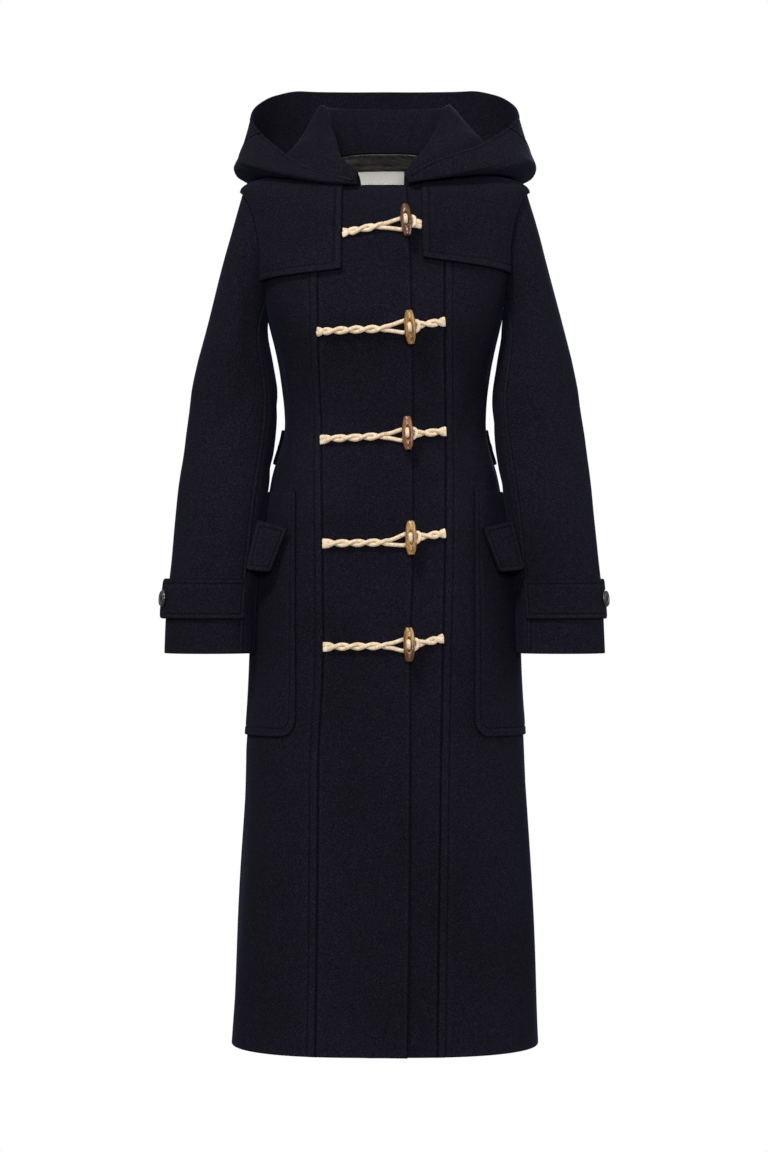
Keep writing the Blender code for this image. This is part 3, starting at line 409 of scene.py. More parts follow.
def body_point(turn, run):
    """A point on the smooth outer face of the body, with no creases."""
    turn, run = np.broadcast_arrays(np.asarray(turn, float), np.asarray(run, float))
    side = np.sin(np.radians(turn))
    ahead = np.cos(np.radians(turn))
    front = ahead >= 0
    width = ring_value(4, run)
    depth = np.where(front, ring_value(5, run), ring_value(6, run))
    square = ring_value(7, run)
    reach = (np.abs(side / width) ** square + np.abs(ahead / depth) ** square) ** (-1 / square)
    side_height = ring_value(2, run)
    end_height = np.where(front, ring_value(1, run), ring_value(3, run))
    height = side_height + (end_height - side_height) * (1 - side**4)
    return np.stack([reach * side, -reach * ahead, height], axis=-1)


def body_normal(turn, run):
    across = body_point(turn + 0.5, run) - body_point(turn - 0.5, run)
    up = body_point(turn, np.asarray(run) + 0.004) - body_point(turn, np.asarray(run) - 0.004)
    return unit(np.cross(across, up))


def turn_at(x, run):
    """The turn at which the front of a ring has this X."""
    width, depth, square = (ring_value(number, run) for number in (4, 5, 7))
    ahead = depth * (1 - (np.abs(x) / width) ** square) ** (1 / square)
    return np.degrees(np.arctan2(x, ahead))


def run_at(x, height):
    """The run at which the front has this height, at this X."""
    low, high = 0.0, NECK_RUN
    for _ in range(40):
        middle = (low + high) / 2
        if body_point(turn_at(x, middle), middle)[2] < height:
            low = middle
        else:
            high = middle
    return (low + high) / 2


def front_line(number):
    """The turn of one of the lines down the front, as a function of run."""
    runs = column(FRONT_LINES, 0)
    across = column(FRONT_LINES, number)
    return lambda run: turn_at(smooth_through(runs, across, run), run)


def armhole_width(run):
    """0 at the armpit and the shoulder point, and 1 half way between."""
    return np.sqrt(np.clip(1 - ((np.asarray(run) - ARMHOLE_MIDDLE) / ARMHOLE_HALF) ** 2, 0, 1))


def front_side(run):
    return 90 - FRONT_ARMHOLE_TURN * armhole_width(run)


def back_side(run):
    return 90 + BACK_ARMHOLE_TURN * armhole_width(run)


def lap_lift(x):
    """How far the right front is lifted where it lies over the left one."""
    return LAYER * ease((x - LAP_STARTS_X) / (LAP_FULL_X - LAP_STARTS_X))


def crease_field(creases, across, up):
    """How far the creases move the cloth out, at places given in metres across and up."""
    moved = np.zeros(np.broadcast(across, up).shape)
    for start_across, start_up, end_across, end_up, half_width, depth in creases:
        way_across, way_up = end_across - start_across, end_up - start_up
        length = np.hypot(way_across, way_up)
        along = ((across - start_across) * way_across + (up - start_up) * way_up) / length**2
        aside = ((across - start_across) * way_up - (up - start_up) * way_across) / length
        aside = aside + 0.06 * length * np.sin(np.pi * np.clip(along, 0, 1))
        fade = np.sin(np.pi * np.clip(along * 0.92 + 0.04, 0, 1)) ** 0.8
        beyond = np.clip(np.maximum(-along, along - 1), 0, None) * length
        moved += depth * fade * np.exp(-(aside / half_width) ** 2 - (beyond / half_width) ** 2)
    return moved


def body_creases(turn, run):
    """The creases of the body, and a faint waviness that leaves no stretch of cloth quite flat.
    They fade out at the neck seam, where the hood is sewn on."""
    turn = (turn + 180) % 360 - 180
    reach = ring_value(4, run) * math.pi / 180
    lines = [
        (start * reach_at(low), low, end * reach_at(high), high, width, depth)
        for start, low, end, high, width, depth in BODY_CREASES
    ]
    moved = crease_field(lines, turn * reach, run)
    moved = moved + crease_field(lines, (turn - 360) * reach, run) * (turn > 140)
    moved = moved + crease_field(lines, (turn + 360) * reach, run) * (turn < -140)
    wave = np.sin(np.radians(turn * 3) + run * 9) * np.sin(run * 13 + np.radians(turn * 2))
    return (moved + 0.0007 * wave) * ease((NECK_RUN - run) / 0.08)


def reach_at(run):
    """Metres to a degree of turn at the side, at this run."""
    return float(ring_value(4, np.asarray(run))) * math.pi / 180


def body_cloth(lift=0.0):
    """The creased body surface, lifted this far, as a function of (turn, run)."""
    def surface(turn, run):
        turn, run = np.broadcast_arrays(np.asarray(turn, float), np.asarray(run, float))
        normals = body_normal(turn, run)
        raised = lift(turn, run) if callable(lift) else lift
        out = raised + body_creases(turn, run)
        return body_point(turn, run) + normals * out[..., None], normals
    return surface


# The sleeve surface

def armhole_point(side, angle, scale=1.0):
    """A point of the armhole's edge: angle 0 is the shoulder point, 90 the front, 180 the armpit."""
    angle = np.radians(np.asarray(angle, float))
    swell = np.where(np.sin(angle) >= 0, FRONT_ARMHOLE_TURN, BACK_ARMHOLE_TURN)
    turn = side * (90 - scale * swell * np.sin(angle))
    return turn, ARMHOLE_MIDDLE + scale * ARMHOLE_HALF * np.cos(angle)


def sleeve_ring(side, angle, height):
    out, ahead, half_width, half_depth = (
        smooth_through(column(SLEEVE_RINGS, 0)[::-1], column(SLEEVE_RINGS, number)[::-1], height)
        for number in (1, 2, 3, 4)
    )
    angle = np.radians(angle)
    x = side * (out + half_width * np.cos(angle))
    return np.stack([x, ahead - half_depth * np.sin(angle), height + 0 * angle], axis=-1)


def sleeve_point(side, angle, along):
    """A point on the sleeve's smooth outer face: along is 0 at the armhole, 1 where the rings
    start, and 2 at the cuff."""
    angle, along = np.broadcast_arrays(np.asarray(angle, float), np.asarray(along, float))
    height = SLEEVE_TOP + (SLEEVE_END - SLEEVE_TOP) * np.clip(along - 1, 0, 1)
    below = sleeve_ring(side, angle, height)
    start = body_point(*armhole_point(side, angle, 0.993))
    end = sleeve_ring(side, angle, np.full(angle.shape, SLEEVE_TOP))
    onward = unit(sleeve_ring(side, angle, np.full(angle.shape, SLEEVE_TOP - 0.01)) - end)
    radians = np.radians(angle)
    leave_x = side * (0.15 + 0.15 * np.cos(radians) + 0.35 * np.sin(radians) ** 2)
    leave = unit(np.stack([leave_x, -0.25 * np.sin(radians), np.full(angle.shape, -1.0)], axis=-1))
    reach = np.linalg.norm(end - start, axis=-1)[..., None]
    share = np.clip(along, 0, 1)[..., None]
    first = start + leave * reach * 0.38
    second = end - onward * reach * 0.33
    cap = (
        start * (1 - share) ** 3
        + first * 3 * share * (1 - share) ** 2
        + second * 3 * share**2 * (1 - share)
        + end * share**3
    )
    return np.where(along[..., None] > 1, below, cap)


def sleeve_normal(side, angle, along):
    along = np.asarray(along, float)
    round_it = sleeve_point(side, angle + 1.0, along) - sleeve_point(side, angle - 1.0, along)
    low = np.clip(along - 0.02, 0, 2)
    high = np.clip(along + 0.02, 0, 2)
    down = sleeve_point(side, angle, high) - sleeve_point(side, angle, low)
    return unit(np.cross(round_it, down)) * side


def sleeve_creases(side, angle, height):
    """The creases of a sleeve. Those of the left one are the same kind, a little lower and softer."""
    reach = SLEEVE_REACH * math.pi / 180
    shift, soft = (0.0, 1.0) if side == RIGHT else (-0.023, 0.85)
    lines = [
        (start * reach, low + shift, end * reach, high + shift, width, depth * soft)
        for start, low, end, high, width, depth in SLEEVE_CREASES
    ]
    rounds = (-360, 0, 360)
    moved = sum(crease_field(lines, (angle + turned) * reach, height) for turned in rounds)
    return moved + 0.0006 * np.sin(np.radians(angle * 2) + height * 21 * side) * np.sin(height * 17)


def sleeve_cloth(side, lift=0.0):
    """The creased sleeve surface, lifted this far, as a function of (angle, along)."""
    def surface(angle, along):
        angle, along = np.broadcast_arrays(np.asarray(angle, float), np.asarray(along, float))
        points = sleeve_point(side, angle, along)
        normals = sleeve_normal(side, angle, along)
        turn, run = armhole_point(side, angle)
        shared = ease((np.cos(np.radians(angle)) + 0.8) / 0.8) * (1 - ease(along / 0.18))
        normals = unit(normals + (body_normal(turn, run) - normals) * shared[..., None])
        own = ease(along / 0.3)
        moved = sleeve_creases(side, angle, points[..., 2]) * own + body_creases(turn, run) * (1 - own)
        raised = lift(angle) if callable(lift) else lift
        return points + normals * (raised + moved)[..., None], normals
    return surface


def sleeve_height(height):
    """The place along the sleeve of a height below its first ring."""
    return 1 + (np.asarray(height) - SLEEVE_TOP) / (SLEEVE_END - SLEEVE_TOP)


# The hood surface

def hood_value(number, station, mirror=1):
    """A value of the hood's table at a station. The right half is the left one's, times mirror."""
    places, values = column(HOOD_STATIONS, 0), column(HOOD_STATIONS, number)
    stops = [-place for place in places[:0:-1]] + places
    return smooth_through(stops, [mirror * value for value in values[:0:-1]] + values, station)


def hood_end(station):
    return np.where(np.asarray(station) < 0, RIGHT_HOOD_END, LEFT_HOOD_END)


def hood_point(station, place):
    """A point on the hood's outside face. Station runs from -1 at the right front end to 1 at
    the left one, and place from 0 at the neck seam to 1 at the rim."""
    station, place = np.broadcast_arrays(np.asarray(station, float), np.asarray(place, float))
    turn = 180 - station * hood_end(station)
    neck = body_point(turn, NECK_RUN)
    rising = unit(neck - body_point(turn, NECK_RUN - 0.008))
    neck = neck + rising * NECK_SEAM_GAP
    on_left = (station > 0).astype(float)
    roll_lift = hood_value(13, station) * on_left
    rim_lift = hood_value(14, station) * on_left
    fold_out, fold_up, inner_out, inner_up = (hood_value(n, station) for n in (3, 4, 5, 6))
    low_out, low_up, outer_out, outer_up = (hood_value(n, station) for n in (7, 8, 9, 10))
    rim_out, rim_up = (hood_value(n, station) for n in (11, 12))
    stand_up = neck[..., 2] + (fold_up - neck[..., 2]) * 0.5
    zero = np.zeros(station.shape)
    inner_out = inner_out + hood_value(15, station) * on_left
    lean = RIGHT_FOLD_LEAN * bell(station + RIGHT_FOLD_PLACE, RIGHT_FOLD_SPREAD)
    fold_out, inner_out = fold_out + lean, inner_out + 0.8 * lean
    out = np.stack([zero, fold_out * 0.3, fold_out, inner_out, low_out, outer_out, rim_out])
    up = np.stack([
        neck[..., 2], stand_up, fold_up, inner_up + rim_lift * 0.4,
        low_up + roll_lift, outer_up + roll_lift, rim_up + rim_lift,
    ])
    swing = hood_value(2, station) * np.sign(station)
    swings = np.stack([zero, zero, zero, zero, swing, swing * 0.8, zero])
    away = smooth_through(HOOD_SECTION, out, place)
    height = smooth_through(HOOD_SECTION, up, place)
    heading = np.radians(hood_value(1, station, -1) + smooth_through(HOOD_SECTION, swings, place))
    x = neck[..., 0] + away * np.sin(heading)
    y = neck[..., 1] + away * np.cos(heading)
    return np.stack([x, y, height], axis=-1)


def hood_normal(station, place):
    round_it = hood_point(station + 0.004, place) - hood_point(station - 0.004, place)
    low = np.clip(np.asarray(place) - 0.006, 0, 1)
    high = np.clip(np.asarray(place) + 0.006, 0, 1)
    up = hood_point(station, high) - hood_point(station, low)
    return unit(np.cross(up, round_it))


def hood_cloth(station, place):
    """The creased hood surface."""
    station, place = np.broadcast_arrays(np.asarray(station, float), np.asarray(place, float))
    normals = hood_normal(station, place)
    at_neck = body_normal(180 - station * hood_end(station), np.full(station.shape, NECK_RUN))
    shared = 1 - ease(place / 0.06)
    normals = unit(normals + (at_neck - normals) * shared[..., None])
    lines = [
        (start * HOOD_AROUND, low * HOOD_UP, end * HOOD_AROUND, high * HOOD_UP, width, depth)
        for start, low, end, high, width, depth in HOOD_CREASES
    ]
    moved = crease_field(lines, station * HOOD_AROUND, place * HOOD_UP)
    moved = moved + 0.0008 * np.sin(station * 9) * np.sin(place * 11 + station * 4)
    moved = moved * ease(place / 0.15)
    return hood_point(station, place) + normals * moved[..., None], normals


# Sewn shells

def running_length(points, axis):
    steps = np.linalg.norm(np.diff(points, axis=axis), axis=-1)
    pad = [(0, 0)] * steps.ndim
    pad[axis] = (1, 0)
    return np.pad(np.cumsum(steps, axis=axis), pad)


def spaced(length, step, near):
    """Places from 0 to a length: the near ones at both ends, and about a step apart between."""
    near = np.asarray(near) * min(1.0, 0.42 * length / near[-1])
    count = max(2, round((length - 2 * near[-1]) / step))
    middle = np.linspace(near[-1], length - near[-1], count + 1)
    return np.concatenate([near[:-1], middle, length - near[-2::-1]])


def grid_between(surface, start, end, rows, step=GRID_STEP):
    """Places (u, v) of a grid between two lines. Its columns keep their distance from the lines,
    so that a seam or a row of stitches follows them."""
    share = np.linspace(0, 1, 90)
    u = start(rows)[:, None] + (end(rows) - start(rows))[:, None] * share
    lengths = running_length(surface(u, rows[:, None])[0], 1)
    widths = lengths[:, -1:]
    near = np.asarray(NEAR_SEAM) * np.minimum(1.0, 0.42 * widths / NEAR_SEAM[-1])
    count = max(2, round((widths.max() - 2 * NEAR_SEAM[-1]) / step))
    middle = near[:, -1:] + (widths - 2 * near[:, -1:]) * np.linspace(0, 1, count + 1)
    across = np.concatenate([near[:, :-1], middle, widths - near[:, -2::-1]], axis=1)
    across = np.clip(across, HALF_SEAM, widths - HALF_SEAM)
    across[:, 0] = HALF_SEAM
    u = np.array([np.interp(*row) for row in zip(across, lengths, u)])
    return u, np.broadcast_to(rows[:, None], u.shape)


def edge_distances(points):
    """How far each point of a grid is from its left, right, bottom and top borders."""
    left = running_length(points, 1)
    bottom = running_length(points, 0)
    return {"left": left, "right": left[:, -1:] - left, "bottom": bottom, "top": bottom[-1:] - bottom}


def rounding(distance):
    """How far a rounded edge has fallen back, this far in from the border."""
    near = np.clip(1 - distance / EDGE_ROUND, 0, 1)
    return EDGE_ROUND * (1 - np.sqrt(1 - near**2))


def sewn_move(kind, distance):
    """How a sewn edge moves the face: a seam pulls it in, and what is stitched down beside it
    stands a little proud, up to the line of stitches."""
    if kind == "plain":
        return -PLAIN_SEAM_DIP * bell(distance, PLAIN_SEAM_WIDTH)
    at = STITCH_INSETS[kind]
    proud = WELT_RISE * (1 - ease((distance - at + 0.002) / 0.004))
    pulled = STITCH_DIP * bell(distance - at, STITCH_DIP_WIDTH)
    seam = WELT_SEAM_DIP * bell(distance, WELT_SEAM_DIP) if kind == "welt" else 0
    return proud - pulled - seam


def painted_edge_shading(distance):
    """Painted shade: darker right at a seam or an edge, and a painted highlight, paler, just inside it."""
    return PAINTED_HIGHLIGHT * bell(distance - 0.0036, 0.0020) - PAINTED_EDGE_SHADE * bell(distance, 0.0013)


def painted_stitch_shading(distance, inset):
    """Painted shade: darker in the groove that a row of stitches pulls in, and a painted highlight, paler, on
    both sides.
    """
    aside = np.abs(distance - inset)
    return PAINTED_HIGHLIGHT * 0.7 * bell(aside - 0.0032, 0.0016) - PAINTED_STITCH_SHADE * bell(aside, 0.0011)


def store_painted_shading(made, shade, lined=False):
    """Keeps the painted shade and painted highlight of every point of a shell, for the cloth's material to
    read.
    On a lined piece the seams don't show inside."""
    inside = 0 * shade if lined else shade
    values = 1 + np.concatenate([shade.ravel(), inside.ravel()])
    made.data.attributes.new("shade", "FLOAT", "POINT").data.foreach_set("value", values.astype(np.float32))


def mesh_object(name, points, faces, uv=None):
    mesh = bpy.data.meshes.new(name)
    faces = faces.tolist() if isinstance(faces, np.ndarray) else faces
    mesh.from_pydata(np.asarray(points).reshape(-1, 3).tolist(), [], faces)
    if uv is not None:
        corners = np.empty(len(mesh.loops), np.int32)
        mesh.loops.foreach_get("vertex_index", corners)
        layer = mesh.uv_layers.new(name="metres")
        layer.data.foreach_set("uv", uv.reshape(-1, 2)[corners].ravel())
    mesh.shade_smooth()
    made = bpy.data.objects.new(name, mesh)
    bpy.context.scene.collection.objects.link(made)
    return made


def ring_numbers(grid):
    """The numbers of the points in rings one above the other, and of the next point round."""
    index = np.arange(grid.shape[0] * grid.shape[1]).reshape(grid.shape[:2])
    return index, np.roll(index, -1, axis=1)


def turned_solid(name, grid):
    """A solid from rings of points one above the other, whose first and last ring are one point."""
    index, after = ring_numbers(grid)
    faces = np.stack([index[:-1], index[1:], after[1:], after[:-1]], axis=-1).reshape(-1, 4)
    made = mesh_object(name, grid, faces)
    joined = bmesh.new()
    joined.from_mesh(made.data)
    bmesh.ops.remove_doubles(joined, verts=joined.verts, dist=0.000001)
    bmesh.ops.recalc_face_normals(joined, faces=joined.faces)
    joined.to_mesh(made.data)
    joined.free()
    return made


def closed_shell(name, outer, inner, uv, normals):
    """A closed shell between two grids of points."""
    count = outer.shape[0] * outer.shape[1]
    front = np.arange(count).reshape(outer.shape[:2])
    quads = [front[:-1, :-1], front[:-1, 1:], front[1:, 1:], front[1:, :-1]]
    outside = np.stack(quads, axis=-1).reshape(-1, 4)
    border = np.concatenate([front[0, :-1], front[:-1, -1], front[-1, :0:-1], front[:0:-1, 0]])
    ahead = np.roll(border, -1)
    rim = np.stack([border, border + count, ahead + count, ahead], axis=-1)
    faces = np.concatenate([outside, outside[:, ::-1] + count, rim])
    first = np.cross(outer[1:-1, 2:] - outer[1:-1, :-2], outer[2:, 1:-1] - outer[:-2, 1:-1])
    if (first * normals[1:-1, 1:-1]).sum() < 0:
        faces = faces[:, ::-1]
    return mesh_object(name, np.concatenate([outer, inner]), faces, np.concatenate([uv, uv]))


def cut_size(points):
    """The width, length and area that a grid of cloth has when it is laid flat."""
    distances = edge_distances(points)
    width, length = distances["left"].max(), distances["bottom"].max()
    sides = points[:-1, 1:] - points[:-1, :-1], points[1:, :-1] - points[:-1, :-1]
    area = np.linalg.norm(np.cross(*sides), axis=-1).sum()
    return round(float(width), 3), round(float(length), 3), float(min(area, width * length))


def finish_piece(made, look, slot, *nodes):
    made.data.materials.append(look)
    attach(made, "root")
    if nodes:
        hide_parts(*nodes)
    return made


def declare_cloth(made, name, points, look, slot):
    finish_piece(made, look or WOOL, slot, name)
    width, length, area = cut_size(points)


def read_along(lengths, values, where):
    """Values (x, y, z) kept at running lengths, read at other lengths."""
    return np.stack([np.interp(where, lengths, values[:, axis]) for axis in range(3)], axis=-1)


def stitch_rows(name, lines, look, slot):
    """Rows of short stitches along lines of (points, normals)."""
    rings = ((-0.5, 0.0), (-0.36, 0.8), (0.0, 1.0), (0.36, 0.8), (0.5, 0.0))
    sides = np.radians(np.arange(0, 360, 72))
    shape = []
    for place, size in rings:
        for side in (sides if size else sides[:1]):
            shape.append((place * STITCH_LENGTH, size * np.cos(side), size * np.sin(side)))
    shape = np.array(shape)
    faces = []
    for j in range(5):
        k = (j + 1) % 5
        faces += [(0, 1 + k, 1 + j), (16, 11 + j, 11 + k)]
        for ring in (1, 6):
            faces += [(ring + j, ring + k, ring + 5 + k), (ring + j, ring + 5 + k, ring + 5 + j)]
    faces = np.array(faces)
    all_points, all_faces, made = [], [], 0
    for points, normals in lines:
        lengths = running_length(points, 0)
        count = int(lengths[-1] / STITCH_PITCH)
        if count < 2:
            continue
        at = (np.arange(count) + 0.5) * lengths[-1] / count
        centre = read_along(lengths, points, at)
        up = unit(read_along(lengths, normals, at))
        first, last = (read_along(lengths, points, at + end * STITCH_LENGTH) for end in (-0.5, 0.5))
        along = unit(last - first)
        aside = np.cross(along, up)
        placed = (
            centre[:, None]
            + along[:, None] * shape[None, :, :1]
            + aside[:, None] * shape[None, :, 1:2] * STITCH_RADIUS * 1.3
            + up[:, None] * (shape[None, :, 2:] * STITCH_RADIUS)
        )
        all_points.append(placed.reshape(-1, 3))
        starts = (made + np.arange(count)) * len(shape)
        all_faces.append((starts[:, None, None] + faces[None]).reshape(-1, 3))
        made += count
    return finish_piece(mesh_object(name, np.concatenate(all_points), np.concatenate(all_faces)), look, slot)


def line_in_grid(points, normals, distances, side, inset, clear):
    """The line of a grid that keeps this far from one border, left off near the clear ones."""
    def turned(values):
        values = values if side in ("left", "right") else values.swapaxes(0, 1)
        return values[:, ::-1] if side in ("right", "top") else values

    distance, points, normals = (turned(values) for values in (distances[side], points, normals))
    rows = np.arange(len(distance))
    after = np.clip((distance < inset).sum(axis=1), 1, distance.shape[1] - 1)
    start, end = distance[rows, after - 1], distance[rows, after]
    part = np.clip((inset - start) / np.maximum(end - start, 1e-9), 0, 1)[:, None]
    line = points[rows, after - 1] * (1 - part) + points[rows, after] * part
    facing = normals[rows, after - 1] * (1 - part) + normals[rows, after] * part
    keep = np.ones(len(line), bool)
    for other in clear:
        keep &= turned(distances[other])[rows, after] > inset
    return line[keep], facing[keep]


def sewn_shell(name, surface, grid, sewn, thickness=CLOTH, look=None, slot="wool",
               lined=False):
    """A cloth piece as a closed shell on its surface. sewn is {kind: the borders sewn like it}."""
    points, normals = surface(*grid)
    distances = edge_distances(points)
    border = np.minimum.reduce(list(distances.values()))
    moved = -rounding(border)
    for kind, sides in sewn.items():
        moved = moved + sewn_move(kind, np.minimum.reduce([distances[side] for side in sides]))
    outer = points + normals * moved[..., None]
    seam = 0 if lined else sewn_move("plain", np.minimum(distances["left"], distances["right"]))
    inner = points - normals * (thickness - rounding(border) + seam)[..., None]
    uv = np.stack([distances["left"], distances["bottom"]], axis=-1)
    made = closed_shell(f"{name}_cloth", outer, inner, uv, normals)
    # Painted shade along seams, edges and rows of stitches, with a painted highlight beside it
    shade = painted_edge_shading(border)
    for kind, sides in sewn.items():
        if kind in STITCH_INSETS:
            near = np.minimum.reduce([distances[side] for side in sides])
            shade = shade + painted_stitch_shading(near, STITCH_INSETS[kind])
    store_painted_shading(made, shade, lined)
    declare_cloth(made, name, points, look, slot)
    lines = []
    for kind, sides in sewn.items():
        if kind in STITCH_INSETS:
            for side in sides:
                clear = [other for other in sides if other != side]
                lines.append(line_in_grid(outer, normals, distances, side, STITCH_INSETS[kind], clear))
    if lines:
        stitch_rows(f"{name}_stitches", lines, THREAD, slot)
    return made


def corner_lift(distance, radius):
    """How far a rounded corner has climbed, this far in from the side."""
    return radius - np.sqrt(np.clip(radius**2 - np.clip(radius - distance, 0, radius) ** 2, 0, None))


def outline_distance(across, up, width, height, corners):
    """How far in a place is from the outline of a rectangle with rounded corners."""
    distance = np.minimum.reduce([across, width - across, up, height - up])
    ends = ((0, 0), (width, 0), (0, height), (width, height))
    for (end_across, end_up), radius in zip(ends, corners):
        in_across, in_up = np.abs(across - end_across), np.abs(up - end_up)
        in_corner = (in_across < radius) & (in_up < radius)
        arc = radius - np.hypot(radius - in_across, radius - in_up)
        distance = np.where(in_corner, arc, distance)
    return np.clip(distance, 0, None)


def rounded_line(width, height, corners, inset, open_top):
    """Places along a line this far in from a rounded outline, about a millimetre apart."""
    spots = []
    order = ((0, 0, corners[0], 180), (width, 0, corners[1], 270), (width, height, corners[3], 0),
             (0, height, corners[2], 90))
    for end_across, end_up, radius, first in order:
        if open_top and end_up:
            continue
        back = max(radius, inset)
        middle_across = back if end_across == 0 else width - back
        middle_up = back if end_up == 0 else height - back
        angles = np.radians(np.linspace(first, first + 90, 9))
        reach = back - inset
        spots += [(middle_across + reach * np.cos(a), middle_up + reach * np.sin(a)) for a in angles]
    if open_top:
        spots = [(inset, height - 0.002)] + spots + [(width - inset, height - 0.002)]
    else:
        spots.append(spots[0])
    spots = np.array(spots)
    lengths = running_length(spots, 0)
    at = np.arange(0, lengths[-1], 0.001)
    return np.interp(at, lengths, spots[:, 0]), np.interp(at, lengths, spots[:, 1])


def patch(name, place, width, height, corners, thickness, insets, open_top=False,
          turned_in=False, look=None, slot="wool", thread=None):
    """A small sewn piece with rounded corners: place gives the surface at shares of its size."""
    across = spaced(width, 0.005, NEAR_SEAM)
    rise = spaced(height, 0.005, NEAR_SEAM)[:, None] / height
    low = np.maximum(corner_lift(across, corners[0]), corner_lift(width - across, corners[1]))
    high = height - np.maximum(corner_lift(across, corners[2]), corner_lift(width - across, corners[3]))
    up = low + (high - low) * rise
    across = across + 0 * up
    points, normals = place(across / width, up / height)
    distance = outline_distance(across, up, width, height, corners)
    to_stitches = outline_distance(across, up, width, height + open_top * width, corners)
    fall = rounding(distance) * min(1.0, thickness / 2 / EDGE_ROUND)
    moved = -fall
    for inset in insets:
        moved = moved + WELT_RISE * 0.6 * (1 - ease((to_stitches - inset + 0.002) / 0.004))
        moved = moved - STITCH_DIP * bell(to_stitches - inset, STITCH_DIP_WIDTH)
    face_in = thickness - fall
    if turned_in:
        face_in, moved = face_in + moved + fall, -fall
    outer = points + normals * moved[..., None]
    inner = points - normals * face_in[..., None]
    made = closed_shell(f"{name}_cloth", outer, inner, np.stack([across, up], axis=-1), normals)
    # Painted shade along the edges and rows of stitches, with a painted highlight beside it
    store_painted_shading(made, painted_edge_shading(distance) + sum(painted_stitch_shading(to_stitches, inset) for inset in insets))
    declare_cloth(made, name, points, look, slot)
    lines = []
    for inset in insets:
        line_across, line_up = rounded_line(width, height, corners, inset, open_top)
        spots, facing = place(line_across / width, line_up / height)
        if turned_in:
            lines.append((spots - facing * thickness, -facing))
        else:
            lines.append((spots + facing * (WELT_RISE * 0.3 - STITCH_DIP), facing))
    if lines:
        stitch_rows(f"{name}_stitches", lines, thread or THREAD, slot)
    return made


# The pieces

def body_rows():
    """Runs from hem to neck, closer at both ends and where the armhole's edge turns over."""
    armhole = ARMHOLE_MIDDLE - ARMHOLE_HALF * np.cos(np.radians(np.arange(0, 181, 4)))
    low = np.concatenate([NEAR_EDGE, np.arange(0.008, ARMPIT_RUN - 0.003, GRID_STEP)])
    high = np.arange(SHOULDER_RUN + 0.004, NECK_RUN - 0.004, 0.005)
    return np.concatenate([low, armhole, high, NECK_RUN - np.array(NEAR_EDGE[::-1])])


def front_swing(turn, run):
    """How far the free front edge of the right front swings out, more towards the hem."""
    x = body_point(turn, run)[..., 0]
    return lap_lift(x) + FRONT_SWING * ease((x + 0.005) / 0.040) * ease(1 - run / 0.75)


def make_body():
    rows = body_rows()
    pieces = (
        # name, start line, end line, lift, what its borders are sewn like
        ("front_right_side", lambda run: -front_side(run), front_line(1), 0.0,
         {"plain": ["left"], "welt": ["right"]}),
        ("front_right_center", front_line(1), front_line(3), front_swing, {"plain": ["left"]}),
        ("front_left_center", lambda run: turn_at(UNDERLAP_X + 0 * run, run), front_line(2), 0.0,
         {"plain": ["right"]}),
        ("front_left_side", front_line(2), front_side, 0.0, {"welt": ["left"], "plain": ["right"]}),
        ("back_left", back_side, lambda run: 180 + 0 * run, 0.0, {"plain": ["left"], "welt": ["right"]}),
        ("back_right", lambda run: -back_side(run), lambda run: -180 + 0 * run, 0.0,
         {"plain": ["left", "right"]}),
    )
    for name, start, end, lift, sewn in pieces:
        surface = body_cloth(lift)
        sewn_shell(name, surface, grid_between(surface, start, end, rows), sewn)


def make_storm_flaps():
    for word, side, edge_x, inner_run, outer_run in STORM_FLAPS:
        down = 1 - spaced(1.0, 0.022, np.array(NEAR_SEAM) * 6)[::-1]
        across = spaced(1.0, 0.04, np.array(NEAR_SEAM) * 7)[None, :]
        low = inner_run + (outer_run - inner_run) * across
        run = FLAP_TOP_RUN + (low - FLAP_TOP_RUN) * down[::-1, None]
        inner = np.abs(turn_at(edge_x, run))
        turn = side * (inner + (front_side(run) - FLAP_ARMHOLE_GAP - inner) * across)
        hanging = np.clip((FLAP_FREE_RUN - run) / (FLAP_FREE_RUN - low), 0, 1)
        lift = DOUBLE_CLOTH + 2 * REST + FLAP_STANDS_OFF * hanging**2
        points, normals = body_cloth()(turn, run)
        raised = points + normals * lift[..., None]
        sewn = {"topstitched": ["left", "bottom"]}
        sewn_shell(f"storm_flap_{word}", lambda *given: given, (raised, normals), sewn, DOUBLE_CLOTH)


def pocket_lift(turn, run):
    """A pocket bags out at the side, most at the height of its flap."""
    at_side = ease(1 - np.abs(np.abs(turn) - POCKET_BULGE_TURN) / POCKET_BULGE_SPREAD)
    at_flap = ease(1 - np.abs(run - POCKET_BULGE_RUN) / POCKET_BULGE_REACH)
    return REST + CLOTH + POCKET_BULGE * at_side * at_flap


def make_pockets():
    for word, side in SIDES:
        surface = body_cloth(pocket_lift)

        def place(across, up, side=side, surface=surface):
            run = POCKET_BOTTOM_RUN + (POCKET_TOP_RUN - POCKET_BOTTOM_RUN) * up
            inner = turn_at(POCKET_INNER_X, run)
            return surface(side * (inner + (POCKET_OUTER_TURN - inner) * across), run)

        height = POCKET_TOP_RUN - POCKET_BOTTOM_RUN
        corners = (POCKET_CORNER, POCKET_CORNER, 0, 0)
        patch(f"pocket_{word}", place, POCKET_WIDTH, height, corners, CLOTH, (WELT_WIDTH,), True)


